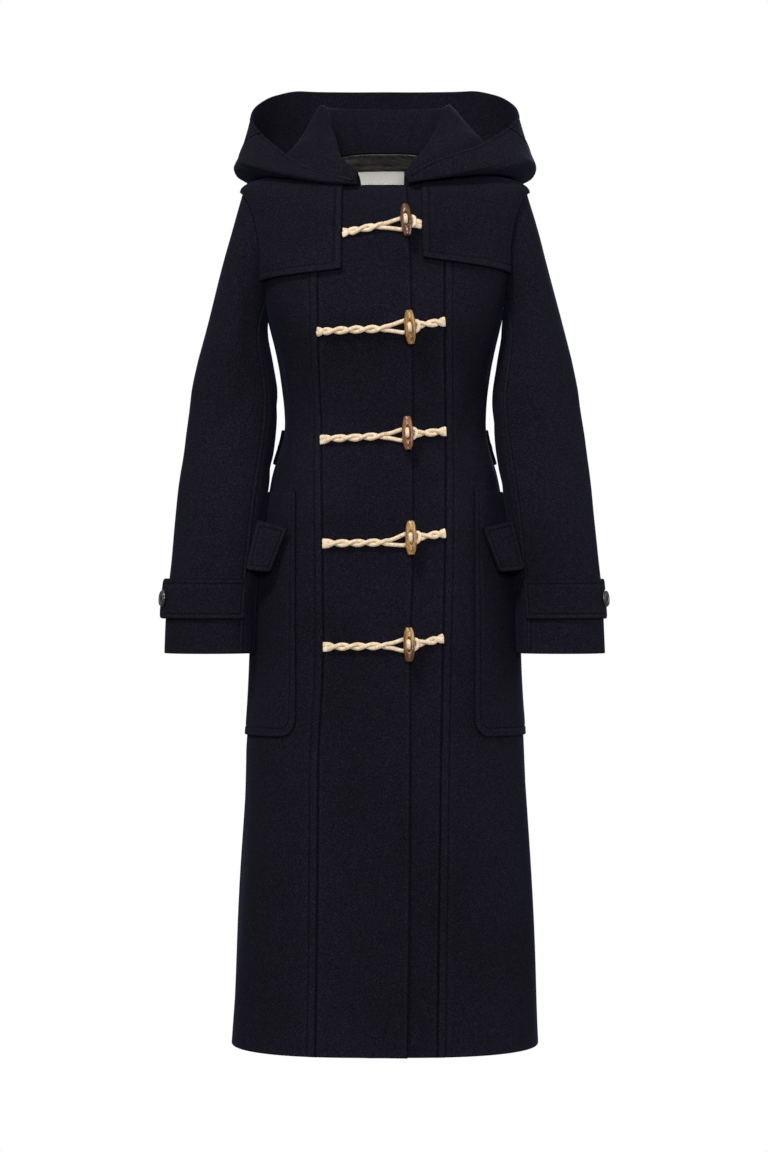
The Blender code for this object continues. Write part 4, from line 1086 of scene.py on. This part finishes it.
def make_pocket_flaps():
    low_inner, low_outer, top_inner, top_outer = (np.array(row[1:]) for row in POCKET_FLAP_CORNERS)
    facing = unit(np.cross(top_outer - top_inner, top_inner - low_inner))
    corners = (0.006, 0.006, 0, 0)
    for word, side in SIDES:
        mirror = np.array([side, 1, 1])

        def place(across, up, mirror=mirror):
            across, up = np.broadcast_arrays(np.asarray(across, float), np.asarray(up, float))
            share, rise = across[..., None], up[..., None]
            low = low_inner + (low_outer - low_inner) * share
            top = top_inner + (top_outer - top_inner) * share
            points = low + (top - low) * rise + facing * DOUBLE_CLOTH
            points[..., 1] -= POCKET_FLAP_BOW * np.sin(np.pi * across)
            return points * mirror, np.broadcast_to(facing * mirror, points.shape)

        patch(f"pocket_flap_{word}", place, POCKET_FLAP_WIDTH, POCKET_FLAP_HEIGHT, corners, DOUBLE_CLOTH,
              (EDGE_STITCH_INSET,))


def make_half_belt():
    surface = body_cloth(REST + DOUBLE_CLOTH)
    middle = (BELT_LOW_RUN + BELT_HIGH_RUN) / 2
    turns = np.linspace(BELT_END_TURN, 360 - BELT_END_TURN, 400)
    lengths = running_length(surface(turns, np.full(400, middle))[0], 0)

    def place(across, up):
        turn = np.interp(across * lengths[-1], lengths, turns)
        return surface(turn, BELT_LOW_RUN + (BELT_HIGH_RUN - BELT_LOW_RUN) * up)

    corners = (BELT_CORNER,) * 4
    patch("half_belt", place, lengths[-1], BELT_HIGH_RUN - BELT_LOW_RUN, corners, DOUBLE_CLOTH,
          (EDGE_STITCH_INSET,))
    for name, turn in (("belt_button_left", BELT_BUTTON_TURN), ("belt_button_right", -BELT_BUTTON_TURN)):
        spot, normal = surface(turn, middle)
        make_button(name, spot + normal * 2 * REST, normal)


def make_neck_lining():
    lining = body_cloth(-CLOTH - REST)
    rows = body_rows()
    between = rows[(rows > LINING_LOW_RUN + 0.001) & (rows < FLAP_TOP_RUN)]
    rows = np.concatenate([[LINING_LOW_RUN], between, [NECK_RUN - 0.002]])
    grid = grid_between(lining, lambda run: back_side(run) + 20, lambda run: 340 - back_side(run), rows)
    sewn_shell("neck_lining", lining, grid, {}, LINING, LINING_SATIN, "lining")
    label = body_cloth(-CLOTH - 2 * REST - LINING - LABEL_STANDS_IN + LABEL)

    def place(across, up):
        run = LABEL_LOW_RUN + (LABEL_HIGH_RUN - LABEL_LOW_RUN) * up
        out = np.arctan2(LABEL_HALF_WIDTH * (2 * across - 1), ring_value(6, run))
        return label(180 - np.degrees(out), run)

    patch("neck_label", place, 2 * LABEL_HALF_WIDTH, LABEL_HEIGHT, (0, 0, 0, 0), LABEL, (LABEL_STITCH_INSET,),
          turned_in=True, look=LABEL_WEAVE, slot="label", thread=LABEL_THREAD)


def make_sleeves():
    """Each sleeve is a wide top piece and a narrow under piece, seamed in front and behind."""
    cap = np.concatenate([[0, 0.0015, 0.004, 0.008, 0.016], np.arange(0.03, 1.0, 0.028)])
    below = np.arange(1.0, 1.985, 0.0145)
    rows = np.concatenate([cap, below, sleeve_height(SLEEVE_END + np.array(NEAR_EDGE[::-1]))])
    for word, side in SIDES:
        surface = sleeve_cloth(side)
        parts = (
            ("top", -SLEEVE_SEAM_ANGLE, SLEEVE_SEAM_ANGLE, {"plain": ["left"], "edge_stitched": ["right"]}),
            ("under", SLEEVE_SEAM_ANGLE, 360 - SLEEVE_SEAM_ANGLE, {"plain": ["left", "right"]}),
        )
        for part, first, last, sewn in parts:
            grid = grid_between(surface, lambda row: first + 0 * row, lambda row: last + 0 * row, rows)
            sewn_shell(f"sleeve_{word}_{part}", surface, grid, sewn)


def strap_stands_off(side, angle):
    """The strap is caught in the front seam, and comes away from the sleeve towards its end."""
    return REST + STRAP_STANDS_OFF[side] * ease((50 - angle) / 60)


def make_cuff_straps():
    start = SLEEVE_SEAM_ANGLE - 1.5
    for word, side in SIDES:
        surface = sleeve_cloth(side, lambda angle: strap_stands_off(side, angle) + DOUBLE_CLOTH)

        def place(across, up, surface=surface):
            along = sleeve_height(STRAP_LOW + (STRAP_HIGH - STRAP_LOW) * up)
            return surface(start + (STRAP_END_ANGLE - start) * across, along)

        corners = (0, STRAP_CORNER, 0, STRAP_CORNER)
        patch(f"cuff_strap_{word}", place, STRAP_LENGTH, STRAP_HIGH - STRAP_LOW, corners, DOUBLE_CLOTH,
              (EDGE_STITCH_INSET,))
        middle = sleeve_height((STRAP_LOW + STRAP_HIGH) / 2)
        spot, normal = surface(STRAP_BUTTON_ANGLE, middle)
        make_button(f"cuff_button_{word}", spot + normal * (REST + 0.0003), normal)


def make_hood():
    """Two side pieces and a centre piece that widens from the neck to the rim."""
    def seam(rows):
        return smooth_through(HOOD_SEAM_PLACES, HOOD_SEAM_STATIONS, rows)

    near_neck, near_rim = (0, 0.001, 0.003, 0.006), (0.986, 0.992, 0.996, 0.998, 0.9993, 1)
    rows = np.concatenate([near_neck, np.arange(0.012, 0.985, 0.0115), near_rim])
    pieces = (
        # name, start line, end line, kind of side seam, the sides that have it
        ("hood_right", lambda row: -1 + 0 * row, lambda row: -seam(row), "welt", ["right"]),
        ("hood_center", lambda row: -seam(row), seam, "plain", ["left", "right"]),
        ("hood_left", seam, lambda row: 1 + 0 * row, "welt", ["left"]),
    )
    for name, start, end, kind, sides in pieces:
        grid = grid_between(hood_cloth, start, end, rows)
        sewn_shell(name, hood_cloth, grid, {kind: sides, "edge_stitched": ["top"]}, lined=True)
    around = np.linspace(-STAND_STITCH_END, STAND_STITCH_END, 900)
    spots, facing = hood_cloth(around, np.full(900, STAND_STITCH_PLACE))
    stitch_rows("hood_stand_stitches", [(spots - facing * (CLOTH + 0.0001), -facing)], THREAD, "wool")


# Buttons, toggles and cords

def frame_on(spot, normal):
    turned = Vector(normal).to_track_quat("Z", "Y").to_matrix().to_4x4()
    turned.translation = Vector(spot)
    return turned


def button_height(x, y):
    """The front of a four-hole button: a rounded rim, a dished middle and the holes."""
    out = np.hypot(x, y) / BUTTON_RADIUS
    height = BUTTON_THICKNESS * (0.62 + 0.38 * np.exp(-(((out - 0.80) / 0.13) ** 2)))
    height = height * np.sqrt(np.clip(1 - np.clip((out - 0.80) / 0.2, 0, 1) ** 2.4, 0.02, 1))
    for hole_x in (-BUTTON_HOLE_OUT, BUTTON_HOLE_OUT):
        for hole_y in (-BUTTON_HOLE_OUT, BUTTON_HOLE_OUT):
            near = np.hypot(x - hole_x, y - hole_y)
            height = height - 0.0018 * ease((0.00125 - near) / 0.0004)
    return height


def make_button(name, spot, normal):
    """A four-hole button sewn on with two bars of thread, its back resting at the spot."""
    around = np.radians(np.arange(0, 360, 5))
    out = np.concatenate([np.linspace(0, 0.42, 22), np.linspace(0.46, 1.0, 16)]) * BUTTON_RADIUS
    x = out[:, None] * np.cos(around)
    y = out[:, None] * np.sin(around)
    top = np.stack([x, y, button_height(x, y)], axis=-1)
    low = np.stack([x, y, 0 * x], axis=-1)
    made = turned_solid(f"{name}_face", np.concatenate([top, low[::-1]]))
    made.matrix_world = frame_on(spot, normal)
    finish_piece(made, BUTTON_LOOK, "button", name)
    front = BUTTON_THICKNESS * 0.62 + 0.0002
    ways = [
        np.array([(hole_x + shift, up, front) for up in (-0.0036, 0.0, 0.0036)])
        for hole_x in (-BUTTON_HOLE_OUT, BUTTON_HOLE_OUT)
        for shift in (-BUTTON_THREAD_RADIUS, BUTTON_THREAD_RADIUS)
    ]
    thread = tubes(f"{name}_thread", ways, BUTTON_THREAD_RADIUS, 6)
    thread.matrix_world = frame_on(spot, normal)
    finish_piece(thread, BUTTON_THREAD, "button")


def tubes(name, ways, radius, sides):
    """Plain round tubes along short ways, as one mesh."""
    points, faces = [], []
    around = np.radians(np.arange(0, 360, 360 / sides))
    for way in ways:
        first = len(points) * sides
        ahead = unit(np.gradient(way, axis=0))
        aside = unit(np.cross(ahead, [0.3, 0.1, 0.9]))
        up = np.cross(ahead, aside)
        for spot, across, above in zip(way, aside, up):
            offset = np.cos(around)[:, None] * across + np.sin(around)[:, None] * above
            points.append(spot + radius * offset)
        for low in range(first, first + (len(way) - 1) * sides, sides):
            for j in range(sides):
                k = (j + 1) % sides
                faces.append((low + j, low + k, low + sides + k, low + sides + j))
    return mesh_object(name, np.concatenate(points), faces)


def front_frame(x, height):
    """A point of the front at this X and height, with its outward and upward directions."""
    run = run_at(x, height)
    turn = turn_at(x, run)
    point = body_point(turn, run)
    normal = body_normal(turn, run)
    up = unit(body_point(turn, run + 0.003) - body_point(turn, run - 0.003))
    moved = body_creases(turn, np.asarray(run))
    return point + normal * moved, normal, up


def make_toggle(number, x, height, tilt):
    """A horn-shaped toggle of oval section, with flat ends and a hollow carved across its front,
    where its cord comes out of two holes."""
    point, normal, up = front_frame(x, height)
    across = np.cross(-normal, up)
    basis = Matrix((across, -normal, up)).transposed().to_4x4()
    basis.translation = point + normal * TOGGLE_LIFT
    basis = basis @ Matrix.Rotation(math.radians(tilt), 4, "Y")
    shares = np.concatenate([[1.0, 0.995, 0.985, 0.96], np.linspace(0.93, 0, 26)])
    rise = np.concatenate([shares, -shares[-2::-1]])
    stops = column(TOGGLE_OUTLINE, 0)
    half_width, half_depth = (smooth_through(stops, column(TOGGLE_OUTLINE, n), np.abs(rise)) for n in (1, 2))
    around = np.radians(np.arange(0, 360, 5))
    z = rise[:, None] * TOGGLE_HALF_LENGTH + 0 * around
    bend = 1 + 0.03 * np.sin(z * 160 + number)
    side = half_width[:, None] * np.cos(around) * bend
    deep = -half_depth[:, None] * np.sin(around)
    hollow = np.sqrt((side / HOLLOW_HALF_WIDTH) ** 2 + (z / HOLLOW_HALF_LENGTH) ** 2)
    facing = np.clip(np.sin(around), 0, 1)
    deep = deep + HOLLOW_DEPTH * ease((1.05 - hollow) / 0.45) * facing
    deep = deep + 0.00018 * np.sin(z * 900 + number) * np.sin(around * 3)
    grid = np.stack([side, deep, z], axis=-1)
    middle = np.broadcast_to([0, 0, TOGGLE_HALF_LENGTH * 0.985], (1, len(around), 3))
    made = turned_solid(f"toggle_{number}_horn", np.concatenate([middle, grid, -middle]))
    made.data.set_sharp_from_angle(angle=math.radians(50))
    made.matrix_world = basis
    finish_piece(made, HORN_LOOKS[number - 1], HORN_SLOTS[number - 1], f"toggle_{number}")


def smooth_route(points, spacing):
    """Points about a spacing apart along a smooth curve through the route's points."""
    points = np.asarray(points, float)
    ends = np.concatenate([2 * points[:1] - points[1:2], points, 2 * points[-1:] - points[-2:-1]])
    made = [points[:1]]
    for before, start, end, after in zip(ends, ends[1:], ends[2:], ends[3:]):
        count = max(1, round(np.linalg.norm(end - start) / spacing))
        t = (np.arange(1, count + 1) / count)[:, None]
        made.append(0.5 * (
            2 * start + (end - before) * t
            + (2 * before - 5 * start + 4 * end - after) * t**2
            + (3 * start - before - 3 * end + after) * t**3
        ))
    return np.concatenate(made)


def fastening_line(row, x):
    """The height of a fastening's middle line at this X."""
    across = (row.left_x, row.split_x, row.toggle_x, row.right_x)
    return smooth_through(across, (row.left_z, row.split_z, row.toggle_z, row.right_z), x)


def spot_on_line(row, x, up, lift):
    """A spot beside a fastening's line, and the cloth's outward direction there. Near the toggle
    it keeps the toggle's own directions, and leans with it."""
    toggle, height, tilt = row.toggle_x, row.toggle_z, math.radians(row.tilt)
    if abs(x - toggle) < 0.0075 and lift > LAYER + 2 * CORD_RADIUS:
        point, normal, rise = front_frame(toggle, height)
        across = np.cross(-normal, rise)
        right = (x - toggle) + up * math.sin(tilt)
        return point + across * right + rise * up * math.cos(tilt) + normal * lift, normal
    point, normal, _ = front_frame(x, float(fastening_line(row, x)) + up)
    return point + normal * lift, normal


def twisted(x, from_x, end_x, flip):
    """Spread and lift of one of two strands that wind round each other, counted from from_x.
    At the sewn end they part like a fish tail and are pressed flatter."""
    angle = math.pi * abs(x - from_x) / TWIST + (math.pi if flip else 0)
    end_angle = math.pi * abs(end_x - from_x) / TWIST + (math.pi if flip else 0)
    spread = STRAND * 1.02 * math.cos(angle)
    lift = STRAND + 0.0004 + STRAND * 0.72 * (1 + math.sin(angle)) * abs(math.sin(angle))
    parted = 1 - ease(abs(x - end_x) / 0.015)
    tail = math.copysign(TAIL_SPREAD, math.cos(end_angle))
    return spread + (tail - spread) * parted, lift + (STRAND * 0.80 - lift) * parted


def loop_ways(row):
    """The doubled loop cord: twisted from the right panel's seam to the split, then open, and
    closed behind the toggle over the toggle's own cord."""
    start, split, toggle = row.left_x, row.split_x, row.toggle_x
    over = LAYER + 4 * CORD_RADIUS + 3 * REST
    ways = []
    for flip in (False, True):
        sign = -1 if flip else 1
        way = []
        for x in np.linspace(start + 0.0008, split, 26):
            spread, lift = twisted(x, split, start, flip)
            way.append((x, spread, lift + lap_lift(x)))
        way += [
            (split + 0.007, sign * 0.0040, CORD_LIFT),
            (toggle - 0.010, sign * 0.0068, CORD_LIFT),
            (toggle - 0.004, sign * 0.0076, CORD_LIFT + 0.0003),
            (toggle + 0.0040, sign * 0.0074, over - 0.0012),
            (toggle + 0.0100, sign * 0.0048, over),
        ]
        if not flip:
            way.append((toggle + 0.0114, 0.0, over))
        ways.append(way)
    return ways[0] + ways[1][::-1]


def toggle_ways(row):
    """The toggle's own cord: from the left panel's seam to the toggle's back, through its holes."""
    toggle, end = row.toggle_x, row.right_x
    hole = TOGGLE_HOLE_OFFSET
    front = TOGGLE_LIFT + 0.0058
    bridge = toggle + BRIDGE_SHIFT
    from_x = toggle + 0.0120
    ways = []
    for flip in (False, True):
        sign = -1 if flip else 1
        way = []
        for x in np.linspace(end - 0.0008, from_x, 14):
            spread, lift = twisted(x, from_x, end, flip)
            step = LAYER * ease((x - (toggle + 0.022)) / -0.008)
            way.append((x, spread, lift + step))
        way += [
            (toggle + 0.0075, sign * 0.0030, CORD_LIFT),
            (toggle + 0.0030, sign * hole, CORD_LIFT + 0.0010),
            (toggle + 0.0002, sign * hole, CORD_LIFT + 0.0045),
            (bridge, sign * hole, CORD_LIFT + 0.0085),
            (bridge, sign * (hole + 0.0002), front - 0.0022),
            (bridge, sign * (hole - 0.0004), front + 0.0002),
            (bridge, sign * 0.0022, front + 0.0018),
        ]
        if not flip:
            way.append((bridge, 0.0, front + 0.0021))
        ways.append(way)
    return ways[0] + ways[1][::-1]


def make_cord(name, row, ways):
    """A soft laid cord along its route: three plies wind round it, and its sewn ends are flat."""
    placed = [spot_on_line(row, x, up, lift) for x, up, lift in ways]
    route = smooth_route([spot for spot, _ in placed], 0.0009)
    lengths = running_length(route, 0)
    key_lengths = running_length(np.array([spot for spot, _ in placed]), 0)
    normals = np.array([normal for _, normal in placed])
    share = lengths / lengths[-1] * key_lengths[-1]
    outward = unit(read_along(key_lengths, normals, share))
    ahead = unit(np.gradient(route, axis=0))
    aside = [unit(np.cross(outward[0], ahead[0]))]
    for tangent in ahead[1:]:
        kept = aside[-1] - tangent * np.dot(aside[-1], tangent)
        aside.append(unit(kept))
    aside = np.array(aside)
    above = np.cross(ahead, aside)
    around = np.radians(np.arange(0, 360, 20))
    winding = 2 * np.pi * lengths[:, None] / CORD_LAY
    ply = 0.98 + 0.045 * np.abs(np.cos(1.5 * (around + winding)))
    offset = STRAND * ply[..., None] * (
        np.cos(around)[None, :, None] * aside[:, None] + np.sin(around)[None, :, None] * above[:, None]
    )
    from_end = np.minimum(lengths, lengths[-1] - lengths)
    flat = (CORD_END_FLATNESS * (1 - ease(from_end / CORD_END_LENGTH)))[:, None, None]
    deep = (offset * outward[:, None]).sum(axis=-1, keepdims=True) * outward[:, None]
    offset = (offset - deep) * (1 + flat * 0.95) + deep * (1 - flat)
    grid = route[:, None] + offset
    index, after = ring_numbers(grid)
    faces = np.stack([index[:-1], after[:-1], after[1:], index[1:]], axis=-1).reshape(-1, 4).tolist()
    faces += [index[0, ::-1].tolist(), index[-1].tolist()]
    uv = np.stack(np.broadcast_arrays(lengths[:, None], around / (2 * np.pi) * CORD_GIRTH), axis=-1)
    finish_piece(mesh_object(f"{name}_rope", grid, faces, uv), CORD_LOOK, "cord", name)


def make_fastenings():
    for number, sizes in enumerate(FASTENINGS, start=1):
        row = Fastening(*sizes)
        make_toggle(number, row.toggle_x, row.toggle_z, row.tilt)
        make_cord(f"loop_cord_{number}", row, loop_ways(row))
        make_cord(f"toggle_cord_{number}", row, toggle_ways(row))


# Materials

class Look:
    """A material, made of a shader's constant inputs and of the nodes that are added to it."""

    def __init__(self, name, inputs, coordinates="Object"):
        self.material = bpy.data.materials.new(name)
        self.material.use_nodes = True
        self.tree = self.material.node_tree
        self.shader = self.tree.nodes["Principled BSDF"]
        for socket, value in inputs.items():
            self.shader.inputs[socket].default_value = value
        self.place = self.tree.nodes.new("ShaderNodeTexCoord").outputs[coordinates]

    def node(self, kind, inputs, sources):
        """Adds a node, with some inputs set and others linked to their sources."""
        made = self.tree.nodes.new(kind)
        for socket, value in inputs.items():
            made.inputs[socket].default_value = value
        for socket, source in sources.items():
            self.tree.links.new(source, made.inputs[socket])
        return made

    def scaled(self, scale):
        return self.node("ShaderNodeMapping", {"Scale": scale}, {"Vector": self.place}).outputs["Vector"]

    def noise(self, scale, detail=2.0, place=None, distortion=0.0):
        inputs = {"Scale": scale, "Detail": detail, "Distortion": distortion}
        return self.node("ShaderNodeTexNoise", inputs, {"Vector": place or self.place}).outputs["Fac"]

    def ramp(self, value, stops):
        made = self.node("ShaderNodeValToRGB", {}, {"Fac": value})
        while len(made.color_ramp.elements) < len(stops):
            made.color_ramp.elements.new(0.5)
        for element, (position, colour) in zip(made.color_ramp.elements, stops):
            element.position = position
            element.color = (*colour, 1)
        return made.outputs["Color"]

    def greys(self, value, *stops):
        return self.ramp(value, [(position, (grey, grey, grey)) for position, grey in stops])

    def mix(self, factor, first, second, blend="MIX"):
        """Mixes two colours. The factor is a number or another node's output."""
        made = self.node("ShaderNodeMix", {}, {})
        made.data_type = "RGBA"
        made.blend_type = blend
        if isinstance(factor, float):
            made.inputs[0].default_value = factor
        else:
            self.tree.links.new(factor, made.inputs[0])
        self.tree.links.new(first, made.inputs[6])
        self.tree.links.new(second, made.inputs[7])
        return made.outputs[2]

    def bump(self, value, strength, distance, under=None):
        sources = {"Height": value} if under is None else {"Height": value, "Normal": under}
        inputs = {"Strength": strength, "Distance": distance}
        return self.node("ShaderNodeBump", inputs, sources).outputs["Normal"]

    def done(self, **sources):
        """Links what the shader reads: its base_color, and its normal and roughness if given."""
        for socket, source in sources.items():
            self.tree.links.new(source, self.shader.inputs[socket.replace("_", " ").title()])
        return self.material


def wool_look(name):
    """Milled navy wool: dark fibres with paler ones among them, a short matted nap, and painted shade and
    painted highlights along seams, edges and stitches."""
    look = Look(name, {
        "Roughness": 0.95, "Specular IOR Level": 0.05, "Sheen Weight": 0.022, "Sheen Roughness": 0.40,
        "Sheen Tint": (0.34, 0.42, 1.0, 1),
    })
    fibres = look.ramp(look.noise(620), WOOL_FIBRES)
    cloudy = look.greys(look.noise(7, 3.0), (0.30, 0.86), (0.70, 1.14))
    # The shade attribute holds painted shade and painted highlights, and it multiplies the cloth's colour
    shade = look.node("ShaderNodeAttribute", {}, {})
    shade.attribute_name = "shade"
    cloth = look.mix(1.0, fibres, cloudy, "MULTIPLY")
    nap = look.bump(look.noise(1500), 0.30, 0.0005)
    matted = look.bump(look.noise(300, 3.0), 0.22, 0.0008, nap)
    return look.done(base_color=look.mix(1.0, cloth, shade.outputs["Color"], "MULTIPLY"), normal=matted)


def cord_look():
    """Unbleached cotton cord: fine yarns along it, and a few pinkish and ochre flecks."""
    look = Look("cotton_cord", {
        "Roughness": 0.85, "Specular IOR Level": 0.2, "Sheen Weight": 0.15, "Sheen Roughness": 0.5,
    })
    cotton = look.ramp(look.noise(260, 3.0), COTTON)
    flecks = look.ramp(look.noise(420, 1.0), [(0.60, (1, 1, 1)), (0.72, (0.92, 0.70, 0.58))])
    yarns = look.bump(look.noise(1700), 0.45, 0.0004)
    return look.done(base_color=look.mix(1.0, cotton, flecks, "MULTIPLY"), normal=yarns)


def horn_look(name, stops, seed, low_stops=None):
    """Polished horn: streaks that run along it, and cloudy patches. With a second colour it is
    pale at the top and changes to that one below."""
    look = Look(name, {
        "Roughness": 0.36, "Specular IOR Level": 0.4, "Coat Weight": 0.16, "Coat Roughness": 0.22,
    })
    streaks = look.noise(1.0 + seed * 0.13, 5.0, look.scaled((150, 150, 22)), 1.2)
    if low_stops is None:
        grain = look.noise(3.0, 4.0, look.scaled((260, 260, 34)), 0.6)
        colour = look.mix(0.35, look.ramp(streaks, stops), look.ramp(grain, stops))
    else:
        grain = streaks
        split = look.node("ShaderNodeSeparateXYZ", {}, {"Vector": look.place})
        down = {"From Min": 0.010, "From Max": -0.016}
        change = look.node("ShaderNodeMapRange", down, {"Value": split.outputs["Z"]}).outputs["Result"]
        colour = look.mix(change, look.ramp(streaks, stops), look.ramp(streaks, low_stops))
    rough = look.greys(look.noise(240), (0.3, 0.24), (0.7, 0.40))
    return look.done(base_color=colour, normal=look.bump(grain, 0.25, 0.0003), roughness=rough)


def button_look():
    """Dark moulded button, faintly marbled."""
    look = Look("dark_button", {"Roughness": 0.34, "Specular IOR Level": 0.5})
    marbled = look.ramp(look.noise(160, 3.0, None, 2.0), BUTTON_MARBLE)
    rough = look.greys(look.noise(500), (0.3, 0.26), (0.7, 0.44))
    return look.done(base_color=marbled, normal=look.bump(look.noise(700), 0.12, 0.0002), roughness=rough)


def label_look():
    """Woven off-white tape: warp and weft ribs. It is left blank."""
    look = Look("label_tape", {"Roughness": 0.70, "Specular IOR Level": 0.3}, "UV")
    ribs = look.node("ShaderNodeTexWave", {"Scale": 520, "Distortion": 0.6}, {"Vector": look.place})
    tone = look.ramp(look.noise(260, 3.0), [(0.3, (0.93, 0.90, 0.80)), (0.7, (0.99, 0.97, 0.88))])
    return look.done(base_color=tone, normal=look.bump(ribs.outputs["Fac"], 0.35, 0.0002))


def lining_look():
    """Mauve-brown satin with a faint print of curling leaf shapes."""
    look = Look("lining_satin", {
        "Roughness": 0.38, "Specular IOR Level": 0.5, "Sheen Weight": 0.15, "Sheen Roughness": 0.35,
    }, "UV")
    leaves = look.ramp(look.noise(26, 1.5, None, 3.2), LINING_PRINT)
    return look.done(base_color=leaves, normal=look.bump(look.noise(900), 0.15, 0.0002))


def thread_look(name, pale, dark):
    look = Look(name, {"Roughness": 0.9, "Specular IOR Level": 0.05})
    tone = look.ramp(look.noise(900), [(0.3, dark), (0.7, pale)])
    return look.done(base_color=tone, normal=look.bump(look.noise(2500, 1.0), 0.3, 0.0002))


def floor_look():
    look = Look("pale_floor", {"Roughness": 0.9, "Specular IOR Level": 0.1})
    return look.done(base_color=look.greys(look.noise(3), (0.3, 0.86), (0.7, 0.90)))


# Colours along the noise that a material reads, as (place, colour), and the materials themselves
WOOL_FIBRES = (
    (0.30, (0.0021, 0.0019, 0.0034)),
    (0.52, (0.0052, 0.0048, 0.0082)),
    (0.74, (0.0126, 0.0117, 0.0180)),
)
COTTON = (
    (0.30, (0.48, 0.36, 0.22)),
    (0.50, (0.62, 0.49, 0.33)),
    (0.72, (0.74, 0.62, 0.45)),
)
BUTTON_MARBLE = (
    (0.3, (0.012, 0.012, 0.014)),
    (0.6, (0.035, 0.034, 0.036)),
    (0.8, (0.075, 0.072, 0.070)),
)
LINING_PRINT = (
    (0.40, (0.010, 0.008, 0.009)),
    (0.50, (0.062, 0.050, 0.046)),
    (0.56, (0.016, 0.012, 0.013)),
    (0.66, (0.080, 0.064, 0.056)),
)
PALE_HORN = (
    (0.32, (0.070, 0.030, 0.008)),
    (0.46, (0.250, 0.128, 0.030)),
    (0.60, (0.410, 0.255, 0.074)),
    (0.76, (0.560, 0.390, 0.150)),
)
DARK_HORN = (
    (0.30, (0.022, 0.009, 0.004)),
    (0.50, (0.070, 0.028, 0.010)),
    (0.68, (0.180, 0.082, 0.030)),
    (0.82, (0.320, 0.180, 0.080)),
)
GOLD_HORN = (
    (0.32, (0.060, 0.024, 0.006)),
    (0.46, (0.210, 0.098, 0.022)),
    (0.60, (0.370, 0.210, 0.058)),
    (0.76, (0.520, 0.330, 0.115)),
)
RED_HORN = (
    (0.30, (0.055, 0.016, 0.006)),
    (0.48, (0.150, 0.054, 0.018)),
    (0.64, (0.270, 0.120, 0.044)),
    (0.80, (0.430, 0.250, 0.112)),
)
WOOL = wool_look("navy_wool")
THREAD = thread_look("navy_thread", (0.0042, 0.0039, 0.0068), (0.0022, 0.0020, 0.0036))
CORD_LOOK = cord_look()
BUTTON_LOOK = button_look()
BUTTON_THREAD = thread_look("button_thread", (0.030, 0.030, 0.036), (0.012, 0.012, 0.016))
LABEL_WEAVE = label_look()
LABEL_THREAD = thread_look("label_thread", (0.62, 0.62, 0.57), (0.45, 0.45, 0.41))
LINING_SATIN = lining_look()
HORN_LOOKS = (
    horn_look("horn_dark_brown", DARK_HORN, 1),
    horn_look("horn_golden", GOLD_HORN, 2),
    horn_look("horn_red_brown", RED_HORN, 3),
    horn_look("horn_light_tan", PALE_HORN, 4),
    horn_look("horn_tan_to_dark", PALE_HORN, 0, DARK_HORN),
)
HORN_SLOTS = (
    "toggle_dark_brown", "toggle_golden", "toggle_red_brown", "toggle_light_tan", "toggle_tan_to_dark",
)


# Camera, floor and light

CAMERA_LENS = 95.8
CAMERA_PLACE = (-0.0014, -4.2, -0.588)
FLOOR_HALF_WIDTH = 0.37
FLOOR_HEIGHT = -1.45
BACKDROP_LIGHT = 0.28
LIGHTS_AIM = (0, 0, -0.55)
LIGHTS = (
    # name, location, size, power, colour
    ("key", (-1.2, -2.3, 2.7), 0.9, 135, (1.0, 0.99, 0.97)),
    ("front", (0.3, -4.1, 0.3), 1.0, 108, (0.98, 0.99, 1.0)),
    ("left", (-2.6, 0.3, 0.1), 1.6, 12, (0.88, 0.93, 1.0)),
    ("right", (2.6, -0.1, 0.1), 1.6, 34, (0.88, 0.93, 1.0)),
    ("back", (0.6, 3.2, 1.2), 1.8, 55, (1.0, 1.0, 1.0)),
)


def make_studio():
    scene = bpy.context.scene
    scene.view_settings.view_transform = "Standard"
    data = bpy.data.cameras.new("camera")
    data.lens = CAMERA_LENS
    camera = bpy.data.objects.new("camera", data)
    camera.location = CAMERA_PLACE
    camera.rotation_euler = (math.pi / 2, 0, 0)
    scene.collection.objects.link(camera)
    scene.camera = camera

    signs = ((-1, -1), (1, -1), (1, 1), (-1, 1))
    corners = [(x * FLOOR_HALF_WIDTH, y * FLOOR_HALF_WIDTH, FLOOR_HEIGHT) for x, y in signs]
    floor = mesh_object("floor", corners, [(0, 1, 2, 3)])
    floor.data.materials.append(floor_look())

    # The backdrop looks white, and lights the coat less than that.
    world = bpy.data.worlds.new("studio")
    world.use_nodes = True
    nodes, links = world.node_tree.nodes, world.node_tree.links
    soft = nodes["Background"]
    soft.inputs["Strength"].default_value = BACKDROP_LIGHT
    seen = nodes.new("ShaderNodeBackground")
    for background in (soft, seen):
        background.inputs["Color"].default_value = (1, 1, 1, 1)
    rays = nodes.new("ShaderNodeLightPath")
    either = nodes.new("ShaderNodeMixShader")
    links.new(rays.outputs["Is Camera Ray"], either.inputs["Fac"])
    links.new(soft.outputs["Background"], either.inputs[1])
    links.new(seen.outputs["Background"], either.inputs[2])
    links.new(either.outputs["Shader"], nodes["World Output"].inputs["Surface"])
    scene.world = world

    for name, location, size, power, colour in LIGHTS:
        lamp = bpy.data.lights.new(name, "AREA")
        lamp.shape = "DISK"
        lamp.size = size
        lamp.energy = power
        lamp.color = colour
        made = bpy.data.objects.new(name, lamp)
        made.location = location
        aim = Vector(LIGHTS_AIM) - Vector(location)
        made.rotation_euler = aim.to_track_quat("-Z", "Y").to_euler()
        scene.collection.objects.link(made)


for make in (
    make_studio, make_body, make_storm_flaps, make_pockets, make_pocket_flaps, make_half_belt,
    make_neck_lining, make_sleeves, make_cuff_straps, make_hood, make_fastenings,
):
    make()
